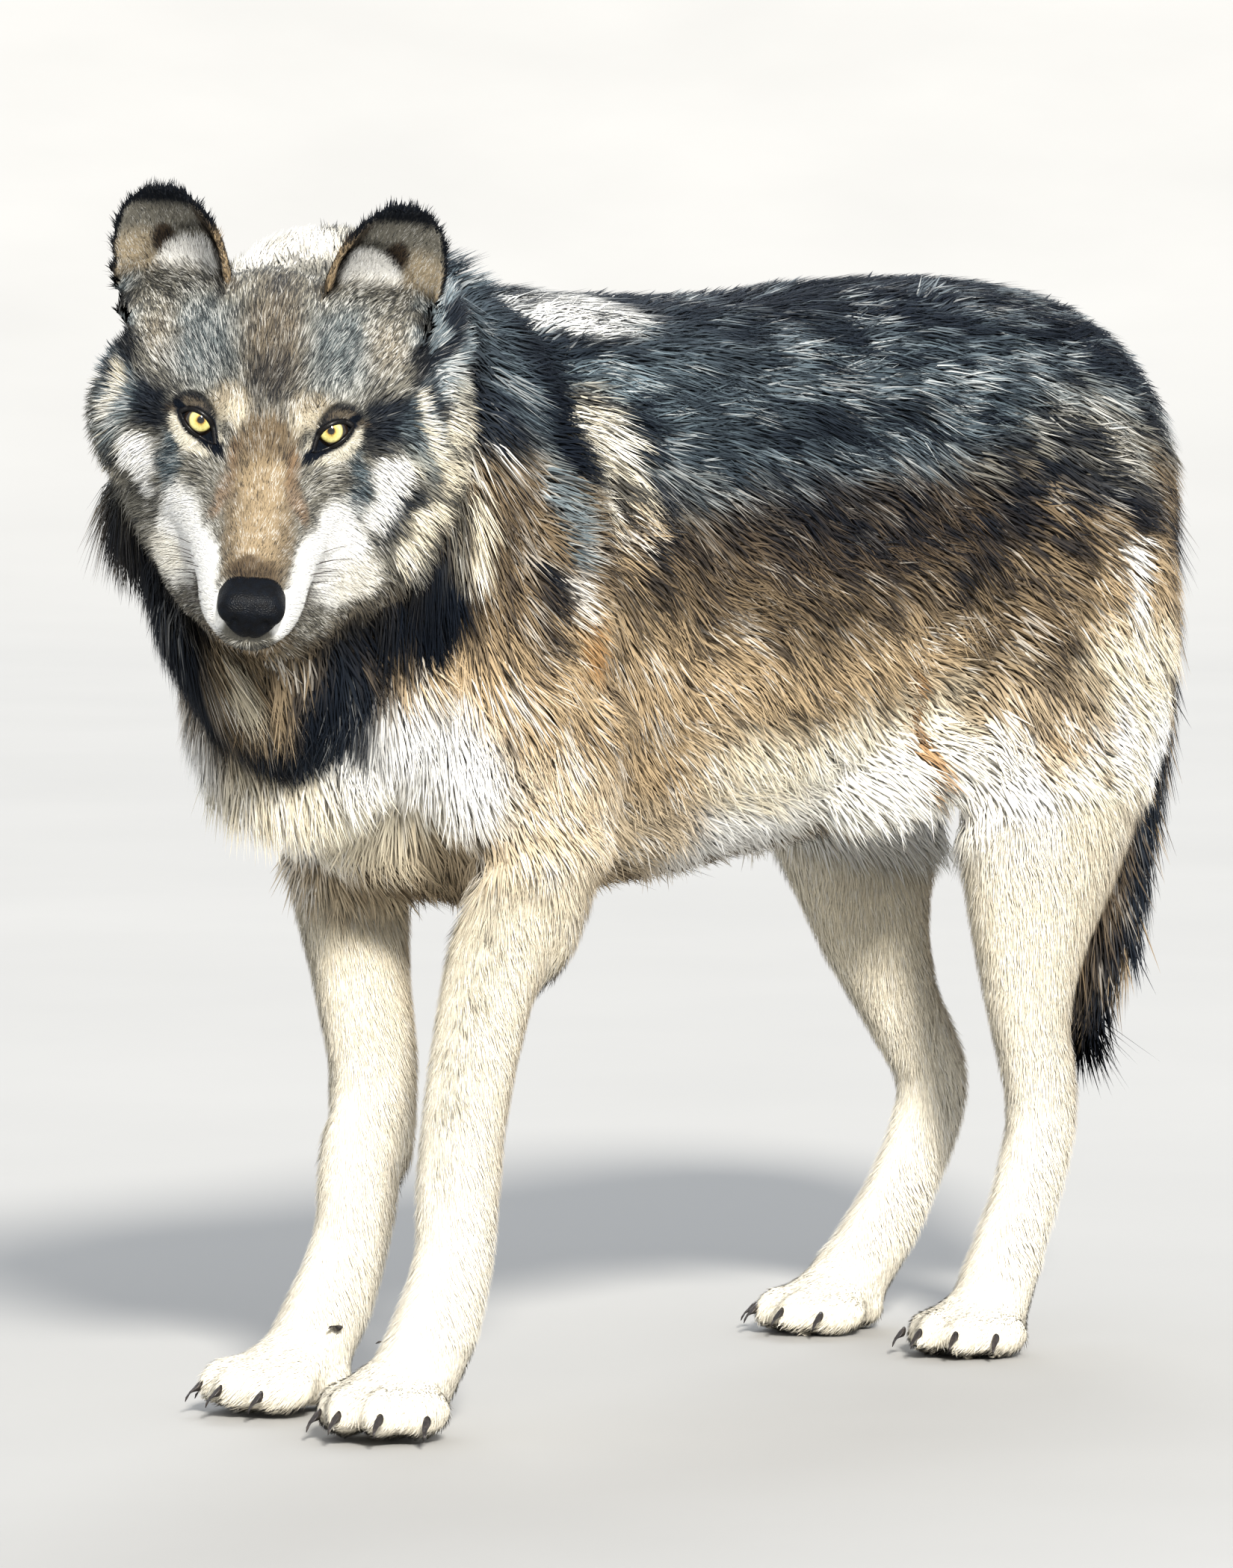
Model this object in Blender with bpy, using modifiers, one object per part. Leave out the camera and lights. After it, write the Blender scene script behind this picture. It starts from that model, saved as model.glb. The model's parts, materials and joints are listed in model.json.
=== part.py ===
"""A timber wolf, life size, standing square with its head turned to the left.

The wolf faces -Y with its left side towards +X, and its paws stand on z = 0. The body is modelled out to
the tips of its winter coat: lofts along the spine, neck, legs and tail are fused into one skin, smoothed,
thinned to facets, and then parted into named pieces. Eyes are let into the head as their own solids.
"""

import math
from typing import NamedTuple

import bmesh
import bpy
from mathutils import Matrix, Vector

# Driving dimensions, in metres, to the tips of the coat.
WITHERS = 0.772  # height of the back over the shoulder blades
CHEST_FLOOR = 0.345  # height of the brisket between the forelegs
CHEST_HALF_WIDTH = 0.150
SKULL_HALF_WIDTH = 0.080
EYE_SPACING = 0.085
EYE_RADIUS = 0.0125
EYE_BACK = 0.0037  # how far the middle of each eye stands behind the eye line
EYE_DROP = 0.0023  # and below it
ORBIT = (0.0190, 0.0190, 0.0100)  # half sizes of the hollow in front of each eye
ORBIT_AHEAD = 0.0232  # from the middle of the eye to the middle of its orbit
ORBIT_SLANT = 24  # degrees
GAZE = 37  # degrees that the eyes look up out of the lowered head
PAW_LENGTH = 0.110
CLAW_LENGTH = 0.020
CLAW_RADIUS = 0.0036
HOCK_UPRIGHT = 0.366  # where the hock stands on the leg that bears upright
EAR_HEIGHT = 0.094
EAR_HALF_WIDTH = 0.037
EAR_SHELL = 0.012
EAR_FLARE = 0.26  # how much wider an ear is towards the crown than outwards, at its root
GAP = 0.0003  # clearance left between neighbours

# The head turns about the point midway between the eyes, in the frame the body is laid out in.
EYES_AT = Vector((0.0985, -0.4503, 0.680))
HEAD_YAW = math.radians(44)
HEAD_ROLL = math.radians(4.9)
HEAD_PITCH = math.radians(35)

SKIN_VOXEL = 0.0042
SKIN_TRIANGLES = 5650
SMOOTHING_ROUNDS = 28
HEAD_SMOOTHING = 0.15  # share of the smoothing that the head takes
PAW_SMOOTHING = 0.08
REACH = 0.40  # how far a parting solid runs past the body
EAR_ROOT = 0.026  # how far up its own length each ear is parted from the head
NOSE_TIP = -0.132
NOSE_DEPTH = 0.0140  # how far the nose is let into the muzzle
NOSE_HALF_WIDTH = 0.0240
PAW_TOP = 0.062

COAT = (0.42, 0.36, 0.29)
PALE_COAT = (0.80, 0.76, 0.68)
DARK_COAT = (0.16, 0.15, 0.15)
IRIS = (0.72, 0.56, 0.16)
NOSE_LEATHER = (0.02, 0.02, 0.025)

BACK = Vector((0, 1, 0))
LEFT = Vector((1, 0, 0))
UP = Vector((0, 0, 1))


class Station(NamedTuple):
    """One section of a loft: its centre, its half sizes, and how much narrower it is at its lower side."""

    x: float
    y: float
    z: float
    half_width: float
    half_height: float
    keel: float = 0.0


class Foot(NamedTuple):
    """A paw: where its centre stands, which way its toes turn out, and its share of full size."""

    x: float
    y: float
    turned: float
    size: float = 1.0


FEET = {
    "fore_left": Foot(0.082, -0.304, math.radians(14)),
    "fore_right": Foot(-0.062, -0.262, math.radians(-22)),
    "hind_left": Foot(0.082, 0.292, math.radians(10), 0.92),
    "hind_right": Foot(-0.080, 0.318, math.radians(-10), 0.92),
}


# ---------------------------------------------------------------- tools


def head_matrix():
    """The head's own frame, facing -Y with the eyes level at the origin, set into the body's frame."""
    turn = Matrix.Rotation(HEAD_YAW, 4, "Z") @ Matrix.Rotation(HEAD_ROLL, 4, "Y")
    return Matrix.Translation(EYES_AT) @ turn @ Matrix.Rotation(HEAD_PITCH, 4, "X")


def paw_matrix(foot):
    """A paw's own frame, toes towards -Y and its sole on z = 0."""
    place = Matrix.Translation((foot.x, foot.y, 0)) @ Matrix.Rotation(foot.turned, 4, "Z")
    return place @ Matrix.Scale(foot.size * PAW_LENGTH, 4)


def plain_material(name, colour, roughness):
    """A one-colour finish."""
    made = bpy.data.materials.new(name)
    made.use_nodes = True
    shader = made.node_tree.nodes["Principled BSDF"]
    shader.inputs["Base Color"].default_value = (*colour, 1)
    shader.inputs["Roughness"].default_value = roughness
    shader.inputs["Metallic"].default_value = 0
    return made


def new_collection(name, hidden=False):
    made = bpy.data.collections.new(name)
    bpy.context.scene.collection.children.link(made)
    made.hide_render = hidden
    return made


def add_object(name, bm, group):
    """A new mesh object from a bmesh, which is freed."""
    bmesh.ops.recalc_face_normals(bm, faces=bm.faces)
    mesh = bpy.data.meshes.new(name)
    bm.to_mesh(mesh)
    bm.free()
    made = bpy.data.objects.new(name, mesh)
    group.objects.link(made)
    return made


def apply_modifiers(obj):
    graph = bpy.context.evaluated_depsgraph_get()
    mesh = bpy.data.meshes.new_from_object(obj.evaluated_get(graph))
    old = obj.data
    obj.modifiers.clear()
    obj.data = mesh
    bpy.data.meshes.remove(old)


def combine(obj, cutter, operation):
    """Applies one exact Boolean to obj."""
    step = obj.modifiers.new("cut", "BOOLEAN")
    step.operation = operation
    step.solver = "EXACT"
    step.object = cutter
    apply_modifiers(obj)


def smooth_between(stations, steps):
    """Stations on a Catmull-Rom curve through the given ones, with this many steps to each span."""
    ends = [stations[0], *stations, stations[-1]]
    found = []
    for a, b, c, d in zip(ends, ends[1:], ends[2:], ends[3:], strict=False):
        for step in range(steps):
            t = step / steps
            values = []
            for p, q, r, s in zip(a, b, c, d, strict=True):
                curve = 2 * p - 5 * q + 4 * r - s + t * (3 * (q - r) + s - p)
                values.append(q + 0.5 * t * (r - p + t * curve))
            found.append(Station(*values))
    return [*found, stations[-1]]


def ring_points(station, side, top, sides):
    """The points round one section, whose width lies along side and whose height lies along top."""
    points = []
    for corner in range(sides):
        angle = math.tau * corner / sides
        narrowed = 1 - station.keel * (1 - math.sin(angle)) / 2
        point = Vector(station[:3]) + side * station.half_width * narrowed * math.cos(angle)
        points.append(point + top * station.half_height * math.sin(angle))
    return points


def skin_over(bm, rings):
    """Closes a tube over rings of equal count."""
    made = [[bm.verts.new(point) for point in ring] for ring in rings]
    for ring, after in zip(made, made[1:], strict=False):
        for corner in range(len(ring)):
            beyond = (corner + 1) % len(ring)
            bm.faces.new((ring[corner], ring[beyond], after[beyond], after[corner]))
    bm.faces.new(made[0])
    bm.faces.new(made[-1])


def loft(bm, stations, across=LEFT, frame=None, sides=20, steps=4):
    """Adds a closed tube through the stations. Its width runs as near as it can along across."""
    path = smooth_between(stations, steps)
    centres = [Vector(s[:3]) for s in path]
    whole = centres[-1] - centres[0]
    flip = -1 if across.cross(whole).dot(UP + 0.1 * BACK) < 0 else 1
    rings = []
    for index, station in enumerate(path):
        along = centres[min(index + 1, len(path) - 1)] - centres[max(index - 1, 0)]
        along.normalize()
        side = (across - across.dot(along) * along).normalized()
        ring = ring_points(station, side, flip * side.cross(along), sides)
        rings.append([frame @ point for point in ring] if frame else ring)
    skin_over(bm, rings)


def ellipsoid(bm, centre, radii, turn=None, frame=None, rows=12):
    """Adds a closed ellipsoid. turn rotates it about its centre."""
    place = Matrix.Translation(centre) @ (turn or Matrix()) @ Matrix.Diagonal((*radii, 1))
    placed = (frame or Matrix()) @ place
    bmesh.ops.create_uvsphere(bm, u_segments=2 * rows, v_segments=rows, radius=1, matrix=placed)


def both_sides(x, y, z):
    return [Vector((side * x, y, z)) for side in (1, -1)]


def lean(angle, axis="X"):
    return Matrix.Rotation(math.radians(angle), 4, axis)


# ---------------------------------------------------------------- trunk, neck and tail


def add_trunk(bm):
    chest_middle = (WITHERS + CHEST_FLOOR) / 2
    loft(
        bm,
        [
            Station(0.000, -0.385, 0.530, 0.050, 0.060),
            Station(0.000, -0.350, 0.540, 0.100, 0.130, 0.15),
            Station(0.000, -0.280, 0.552, 0.135, 0.190, 0.25),
            Station(0.000, -0.180, chest_middle, CHEST_HALF_WIDTH, WITHERS - chest_middle, 0.25),
            Station(0.000, -0.040, 0.555, CHEST_HALF_WIDTH, 0.210, 0.20),
            Station(0.000, 0.100, 0.561, 0.148, 0.203, 0.15),
            Station(0.000, 0.220, 0.574, 0.138, 0.198, 0.15),
            Station(0.000, 0.330, 0.590, 0.138, 0.184, 0.10),
            Station(0.000, 0.430, 0.602, 0.126, 0.160),
            Station(0.000, 0.510, 0.604, 0.092, 0.118),
            Station(0.000, 0.540, 0.604, 0.052, 0.066),
        ],
    )
    for centre in both_sides(0.094, -0.215, 0.545):
        ellipsoid(bm, centre, (0.058, 0.088, 0.155), lean(-12))
    for centre in both_sides(0.080, 0.365, 0.560):
        ellipsoid(bm, centre, (0.066, 0.130, 0.140), lean(10))
    for centre in both_sides(0.062, 0.455, 0.545):
        ellipsoid(bm, centre, (0.054, 0.066, 0.110))
    for centre in both_sides(0.062, 0.222, 0.428):
        ellipsoid(bm, centre, (0.050, 0.110, 0.046), lean(12))


def add_neck(bm):
    loft(
        bm,
        [
            Station(0.000, -0.120, 0.590, 0.115, 0.165),
            Station(0.002, -0.200, 0.592, 0.140, 0.186, 0.15),
            Station(0.012, -0.270, 0.605, 0.142, 0.190, 0.20),
            Station(0.024, -0.325, 0.630, 0.136, 0.180, 0.20),
            Station(0.040, -0.368, 0.664, 0.124, 0.152, 0.15),
            Station(0.056, -0.400, 0.700, 0.100, 0.108),
        ],
        across=Vector((1, 0.25, 0)),
    )
    ellipsoid(bm, Vector((0.012, -0.312, 0.550)), (0.118, 0.078, 0.150), lean(-8))
    ellipsoid(bm, Vector((0.042, -0.318, 0.722)), (0.092, 0.115, 0.086), lean(-12))


def add_tail(bm):
    loft(
        bm,
        [
            Station(0.000, 0.430, 0.650, 0.045, 0.045),
            Station(0.000, 0.508, 0.636, 0.050, 0.050),
            Station(0.000, 0.546, 0.590, 0.049, 0.048),
            Station(0.000, 0.556, 0.520, 0.049, 0.047),
            Station(0.000, 0.549, 0.440, 0.050, 0.047),
            Station(0.000, 0.534, 0.365, 0.049, 0.046),
            Station(0.000, 0.522, 0.290, 0.045, 0.042),
            Station(0.000, 0.511, 0.215, 0.033, 0.032),
            Station(0.000, 0.503, 0.145, 0.011, 0.011),
        ],
        sides=18,
    )


# ---------------------------------------------------------------- legs


def add_paw(bm, foot):
    """Four toes, the inner pair leading, over the pads. Sizes are shares of the paw's length."""
    frame = paw_matrix(foot)
    for side in (1, -1):
        inner, outer = Vector((side * 0.135, -0.33, 0.170)), Vector((side * 0.320, -0.17, 0.155))
        ellipsoid(bm, inner, (0.140, 0.265, 0.190), lean(-4 * side, "Z"), frame)
        ellipsoid(bm, outer, (0.135, 0.255, 0.175), lean(-16 * side, "Z"), frame)
    ellipsoid(bm, Vector((0, 0.00, 0.225)), (0.345, 0.320, 0.245), None, frame)
    ellipsoid(bm, Vector((0, 0.23, 0.150)), (0.270, 0.250, 0.190), None, frame)


def add_foreleg(bm, foot, out, lower):
    """Forearm, wrist and pastern. The wrist stands at out along X and lower along Y."""
    loft(
        bm,
        [
            Station(out * 1.40, -0.195, 0.500, 0.046, 0.075),
            Station(out * 1.34, -0.188, 0.420, 0.044, 0.066),
            Station(out * 1.22, -0.190, 0.350, 0.037, 0.050),
            Station(out * 1.10, (lower - 0.190) / 2 + 0.002, 0.290, 0.031, 0.041),
            Station(out * 1.03, lower + 0.008, 0.225, 0.029, 0.038),
            Station(out, lower, 0.160, 0.029, 0.037),
            Station((foot.x + out) / 2, lower - 0.008, 0.110, 0.028, 0.034),
            Station(foot.x, (lower + foot.y) / 2 + 0.006, 0.065, 0.030, 0.036),
            Station(foot.x, foot.y + 0.016, 0.028, 0.030, 0.034),
        ],
    )


def add_hind_leg(bm, foot, side, hock):
    """Thigh, shank, hock and metatarsus. hock is where the middle of the hock stands along Y."""
    slope = hock - HOCK_UPRIGHT
    fore = foot.y - hock
    loft(
        bm,
        [
            Station(side * 0.080, 0.385, 0.560, 0.060, 0.120),
            Station(side * 0.086, 0.370, 0.470, 0.058, 0.118),
            Station(side * 0.089, 0.358, 0.400, 0.053, 0.100),
            Station(side * 0.088, 0.352 + 0.20 * slope, 0.345, 0.044, 0.078),
            Station(side * 0.086, 0.346 + 0.45 * slope, 0.290, 0.035, 0.055),
            Station(side * 0.083, 0.350 + 0.75 * slope, 0.235, 0.028, 0.038),
            Station(side * 0.081, hock - 0.003, 0.190, 0.025, 0.035),
            Station(side * 0.080, hock, 0.160, 0.025, 0.034),
            Station(side * 0.080, hock + 0.22 * fore, 0.110, 0.025, 0.031),
            Station(side * 0.080, hock + 0.58 * fore, 0.060, 0.027, 0.032),
            Station(foot.x, foot.y + 0.014, 0.028, 0.028, 0.032),
        ],
    )
    ellipsoid(bm, Vector((side * 0.080, hock + 0.021, 0.178)), (0.014, 0.016, 0.026), lean(-12))


def claw_places():
    """Where each claw leaves its toe, as shares of the paw's length, and how far it points outwards."""
    for side in (1, -1):
        yield Vector((side * 0.145, -0.555, 0.150)), 6 * side
        yield Vector((side * 0.375, -0.385, 0.135)), 18 * side


def add_claws(bm, foot):
    for place, outwards in claw_places():
        grow = paw_matrix(foot) @ Matrix.Translation(place) @ lean(outwards, "Z") @ lean(118)
        bmesh.ops.create_cone(
            bm,
            cap_ends=True,
            segments=6,
            radius1=CLAW_RADIUS / PAW_LENGTH,
            radius2=0.008,
            depth=CLAW_LENGTH / PAW_LENGTH,
            matrix=grow,
        )


# ---------------------------------------------------------------- head


def add_head(bm):
    """Skull, muzzle, brows, cheek ruff and jaw, in the head's own frame."""
    head = head_matrix()
    ellipsoid(bm, Vector((0, 0.070, 0.002)), (SKULL_HALF_WIDTH, 0.072, 0.060), None, head, 16)
    loft(
        bm,
        [
            Station(0.000, 0.112, -0.030, 0.085, 0.080),
            Station(0.000, 0.084, -0.038, 0.114, 0.094),
            Station(0.000, 0.056, -0.042, 0.116, 0.090),
            Station(0.000, 0.030, -0.044, 0.106, 0.080),
            Station(0.000, 0.008, -0.047, 0.089, 0.067, -0.05),
            Station(0.000, -0.012, -0.051, 0.069, 0.056, -0.10),
            Station(0.000, -0.034, -0.055, 0.051, 0.046, -0.12),
            Station(0.000, -0.058, -0.058, 0.041, 0.038, -0.12),
            Station(0.000, -0.085, -0.060, 0.036, 0.034, -0.08),
            Station(0.000, -0.110, -0.061, 0.033, 0.032, -0.05),
            Station(0.000, -0.125, -0.058, 0.026, 0.027),
            Station(0.000, -0.132, -0.053, 0.016, 0.017),
        ],
        frame=head,
        sides=28,
        steps=4,
    )
    for centre in both_sides(0.036, 0.010, 0.008):
        ellipsoid(bm, centre, (0.028, 0.024, 0.013), lean(25), head)
    for centre in both_sides(0.062, 0.050, -0.098):
        ellipsoid(bm, centre, (0.050, 0.050, 0.052), None, head)


def ear_frame(side):
    """An ear's own frame: its root at the origin, rising along Z, and its hollow towards -Y."""
    stand = Matrix.Translation((side * 0.066, 0.078, 0.030))
    turn = lean(side * 9, "Y") @ lean(-6) @ lean(side * 12, "Z")
    return head_matrix() @ stand @ turn


def add_ear(bm, side):
    """A cupped shell with a rounded tip, open to the front."""
    frame = ear_frame(side)
    outline = [
        (-0.30, 0.70),
        (-0.10, 0.92),
        (0.04, 0.99),
        (0.20, 1.00),
        (0.40, 1.00),
        (0.58, 0.97),
        (0.72, 0.88),
        (0.84, 0.72),
        (0.93, 0.50),
        (1.00, 0.20),
    ]
    rings = []
    for rise, width in outline:
        half = EAR_HALF_WIDTH * width
        cup = half * (1.05 - 0.60 * rise)
        flare = 1 + EAR_FLARE * (1 - rise * rise)
        inner = max(cup - EAR_SHELL, 0.15 * cup - 0.002)
        ring = []
        for step in range(9):
            angle = math.pi * step / 8
            across = half * math.cos(angle)
            across *= flare if across * side < 0 else 1
            ring.append(Vector((across, cup * math.sin(angle), EAR_HEIGHT * rise)))
        narrow = half - 0.004
        for step in range(1, 8):
            angle = math.pi * (1 - step / 8)
            across = narrow * math.cos(angle)
            across *= flare if across * side < 0 else 1
            ring.append(Vector((across, inner * math.sin(angle), EAR_HEIGHT * rise)))
        rings.append([frame @ (point - Vector((0, 0.4 * cup, 0))) for point in ring])
    skin_over(bm, rings)


# ---------------------------------------------------------------- the fused skin


def weigh(skin, name, head, paw):
    """A vertex group worth 1 on the trunk, and less on the head and paws."""
    group = skin.vertex_groups.new(name=name)
    into_head = head_matrix().inverted()
    for vertex in skin.data.vertices:
        seen = into_head @ vertex.co
        weight = 1.0
        if seen.y < 0.10 and seen.length < 0.19:
            weight = head
        if vertex.co.z < 0.060:
            weight = paw
        group.add([vertex.index], weight, "REPLACE")
    return group.name


def fuse(bm, group):
    """One smooth skin round everything in bm."""
    skin = add_object("skin", bm, group)
    remesh = skin.modifiers.new("fuse", "REMESH")
    remesh.mode = "VOXEL"
    remesh.voxel_size = SKIN_VOXEL
    apply_modifiers(skin)
    relax = skin.modifiers.new("relax", "SMOOTH")
    relax.factor = 0.5
    relax.iterations = SMOOTHING_ROUNDS
    relax.vertex_group = weigh(skin, "relax", HEAD_SMOOTHING, PAW_SMOOTHING)
    apply_modifiers(skin)
    thin = skin.modifiers.new("facet", "DECIMATE")
    thin.ratio = SKIN_TRIANGLES / (2 * len(skin.data.polygons))
    apply_modifiers(skin)
    return skin


def build_skin(group):
    bm = bmesh.new()
    add_trunk(bm)
    add_neck(bm)
    add_tail(bm)
    add_foreleg(bm, FEET["fore_left"], 0.0745, -0.229)
    add_foreleg(bm, FEET["fore_right"], -0.060, -0.188)
    add_hind_leg(bm, FEET["hind_left"], 1, 0.366)
    add_hind_leg(bm, FEET["hind_right"], -1, 0.434)
    for foot in FEET.values():
        add_paw(bm, foot)
    add_head(bm)
    add_ear(bm, 1)
    add_ear(bm, -1)
    return fuse(bm, group)


# ---------------------------------------------------------------- parting


def hull(name, points, group):
    """A convex solid round the given points."""
    bm = bmesh.new()
    for point in points:
        bm.verts.new(point)
    bmesh.ops.convex_hull(bm, input=bm.verts)
    bmesh.ops.delete(bm, geom=[vertex for vertex in bm.verts if not vertex.link_faces], context="VERTS")
    return add_object(name, bm, group)


def slab(name, low, high, group, frame=None):
    """A box between two corners, in a frame of its own if one is given."""
    sides = list(zip(low, high, strict=True))
    corners = [Vector((x, y, z)) for x in sides[0] for y in sides[1] for z in sides[2]]
    return hull(name, [frame @ corner for corner in corners] if frame else corners, group)


def beyond_plane(name, point, normal, group):
    """A large box on the side of a plane that normal points to."""
    frame = Matrix.Translation(point) @ normal.to_track_quat("Z", "Y").to_matrix().to_4x4()
    return slab(name, (-REACH, -REACH, 0), (REACH, REACH, REACH), group, frame)


def grown(cutter, group):
    """A convex cutter made larger by the gap, or a little more, on every side."""
    nudges = [GAP * Vector((x, y, z)) for x in (-1, 1) for y in (-1, 1) for z in (-1, 1)]
    points = [vertex.co + nudge for vertex in cutter.data.vertices for nudge in nudges]
    return hull(cutter.name + "_clearance", points, group)


def part_off(skin, name, region, wolf, cutters):
    """Takes what lies inside a convex region off the skin as its own body, leaving the gap between them."""
    piece = bpy.data.objects.new(name, skin.data.copy())
    wolf.objects.link(piece)
    combine(piece, region, "INTERSECT")
    combine(skin, grown(region, cutters), "DIFFERENCE")
    return piece


def ear_region(name, side, group):
    """Round the free part of an ear: open in front, close behind, where the nape begins."""
    frame = ear_frame(side)
    points = []
    for rise, half, back in ((EAR_ROOT, 0.043, 0.026), (0.055, 0.043, 0.021), (0.110, 0.030, 0.012)):
        for x in (-half - 0.008 * (side > 0), half + 0.008 * (side < 0)):
            points.append(frame @ Vector((x, -0.055, rise)))
            points.append(frame @ Vector((0.6 * x, back, rise)))
            points.append(frame @ Vector((x, 0.3 * back, rise)))
    return hull(name, points, group)


def leg_region(name, side, span, inner_top, outer_top, group):
    """Below a plane that rises outwards from under the trunk, between two places along Y."""
    points = []
    for y in span:
        points.append(Vector((side * 0.005, y, inner_top)))
        points.append(Vector((side * 0.205, y, outer_top)))
        points.append(Vector((side * 0.005, y, -0.05)))
        points.append(Vector((side * 0.205, y, -0.05)))
    return hull(name, points, group)


def tail_region(group):
    """Behind a bent plane that runs down between the tail and the hind legs."""
    points = []
    for half, y, z in (
        (0.068, 0.548, 0.668),
        (0.068, 0.535, 0.600),
        (0.068, 0.506, 0.500),
        (0.068, 0.494, 0.440),
        (0.064, 0.482, 0.365),
        (0.060, 0.473, 0.290),
        (0.050, 0.470, 0.100),
    ):
        points += [Vector((side * half, y, z)) for side in (1, -1)]
        points += [Vector((side * half, 0.70, z)) for side in (1, -1)]
    return hull("tail_region", points, group)


def part_paws(skin, wolf, cutters):
    """Cuts each paw off level below its pastern, and sets its claws."""
    for key, foot in FEET.items():
        low = (foot.x - 0.070, foot.y - 0.100, -0.05)
        high = (foot.x + 0.070, foot.y + 0.090, PAW_TOP)
        place = key.split("_")
        name = f"{place[0]}paw_{place[1]}" if place[0] == "fore" else f"hind_paw_{place[1]}"
        paw = part_off(skin, name, slab(name + "_region", low, high, cutters), wolf, cutters)
        bm = bmesh.new()
        add_claws(bm, foot)
        combine(paw, add_object(name + "_claws", bm, cutters), "UNION")


def let_in_eye(head, name, side, wolf, cutters):
    """Opens an orbit, whose outer corner stands higher, and sets an eyeball in a socket behind it."""
    middle = Matrix.Translation((side * EYE_SPACING / 2, EYE_BACK, -EYE_DROP))
    place = head_matrix() @ middle @ lean(-GAZE) @ lean(-side * ORBIT_SLANT, "Y")
    bm = bmesh.new()
    ellipsoid(bm, Vector((0, -ORBIT_AHEAD, 0)), ORBIT, None, place, 8)
    combine(head, add_object(name + "_orbit", bm, cutters), "DIFFERENCE")
    bm = bmesh.new()
    bmesh.ops.create_icosphere(bm, subdivisions=2, radius=EYE_RADIUS, matrix=place)
    eye = add_object(name, bm, wolf)
    bm = bmesh.new()
    bmesh.ops.create_icosphere(bm, subdivisions=2, radius=EYE_RADIUS + 1.5 * GAP, matrix=place)
    combine(head, add_object(name + "_socket", bm, cutters), "DIFFERENCE")
    return eye


def stand_on_origin(group):
    """Moves every body so that the middle of the base of their box is the origin."""
    corners = [vertex.co for obj in group.objects for vertex in obj.data.vertices]
    low = Vector(min(corner[axis] for corner in corners) for axis in range(3))
    high = Vector(max(corner[axis] for corner in corners) for axis in range(3))
    shift = Matrix.Translation((-(low.x + high.x) / 2, -(low.y + high.y) / 2, -low.z))
    for obj in group.objects:
        obj.data.transform(shift)


def finish(wolf):
    """Each body gets its own material, by the colour its coat mostly has."""
    colours = {"eye": IRIS, "nose": NOSE_LEATHER, "tail": DARK_COAT, "neck": DARK_COAT}
    for obj in wolf.objects:
        kind = obj.name.split("_")[0]
        colour = colours.get(kind, PALE_COAT if "paw" in obj.name or "leg" in obj.name else COAT)
        obj.data.materials.clear()
        roughness = 0.15 if kind in ("eye", "nose") else 0.9
        obj.data.materials.append(plain_material(obj.name + "_finish", colour, roughness))


def main():
    for obj in list(bpy.data.objects):
        bpy.data.objects.remove(obj)
    wolf = new_collection("timber_wolf")
    cutters = new_collection("cutters", hidden=True)
    skin = build_skin(wolf)
    combine(skin, slab("floor", (-1, -1, -0.2), (1, 1, 0), cutters), "DIFFERENCE")

    part_paws(skin, wolf, cutters)
    for side, word in ((1, "left"), (-1, "right")):
        part_off(skin, f"ear_{word}", ear_region(f"ear_{word}_region", side, cutters), wolf, cutters)
    nose_low = (-NOSE_HALF_WIDTH, -0.20, -0.069)
    nose_high = (NOSE_HALF_WIDTH, NOSE_TIP + NOSE_DEPTH, 0.01)
    part_off(skin, "nose", slab("nose_region", nose_low, nose_high, cutters, head_matrix()), wolf, cutters)
    part_off(skin, "tail", tail_region(cutters), wolf, cutters)
    throat = beyond_plane("head_region", Vector((0.055, -0.395, 0.660)), Vector((0.60, -0.62, 0.36)), cutters)
    head = part_off(skin, "head", throat, wolf, cutters)
    collar = beyond_plane("neck_region", Vector((0, -0.370, 0.440)), Vector((0, -0.918, 0.395)), cutters)
    part_off(skin, "neck", collar, wolf, cutters)
    for side, word in ((1, "left"), (-1, "right")):
        fore = leg_region(f"foreleg_{word}_region", side, (-0.37, -0.105), 0.333, 0.430, cutters)
        part_off(skin, f"foreleg_{word}", fore, wolf, cutters)
        hind = leg_region(f"hind_leg_{word}_region", side, (0.16, 0.57), 0.330, 0.450, cutters)
        part_off(skin, f"hind_leg_{word}", hind, wolf, cutters)
        let_in_eye(head, f"eye_{word}", side, wolf, cutters)
    skin.name = "trunk"
    skin.data.name = "trunk"

    stand_on_origin(wolf)
    finish(wolf)
    for cutter in cutters.objects:
        cutter.display_type = "WIRE"


main()
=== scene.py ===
"""Looks of the timber wolf: one skin under a coat of mesh tufts, with eyes, lids, nose, claws and whiskers.

All is in metres, in the frame of the solids: the wolf faces -Y, its left is +X, and it stands on z = 0.
"""

import json
import logging
import math
from collections.abc import Callable, Iterator, Sequence
from contextlib import contextmanager
from dataclasses import dataclass, field
from enum import Enum

import bmesh
import bpy
import numpy as np
from mathutils import Matrix, Vector
from mathutils.bvhtree import BVHTree
from mathutils.kdtree import KDTree

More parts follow.
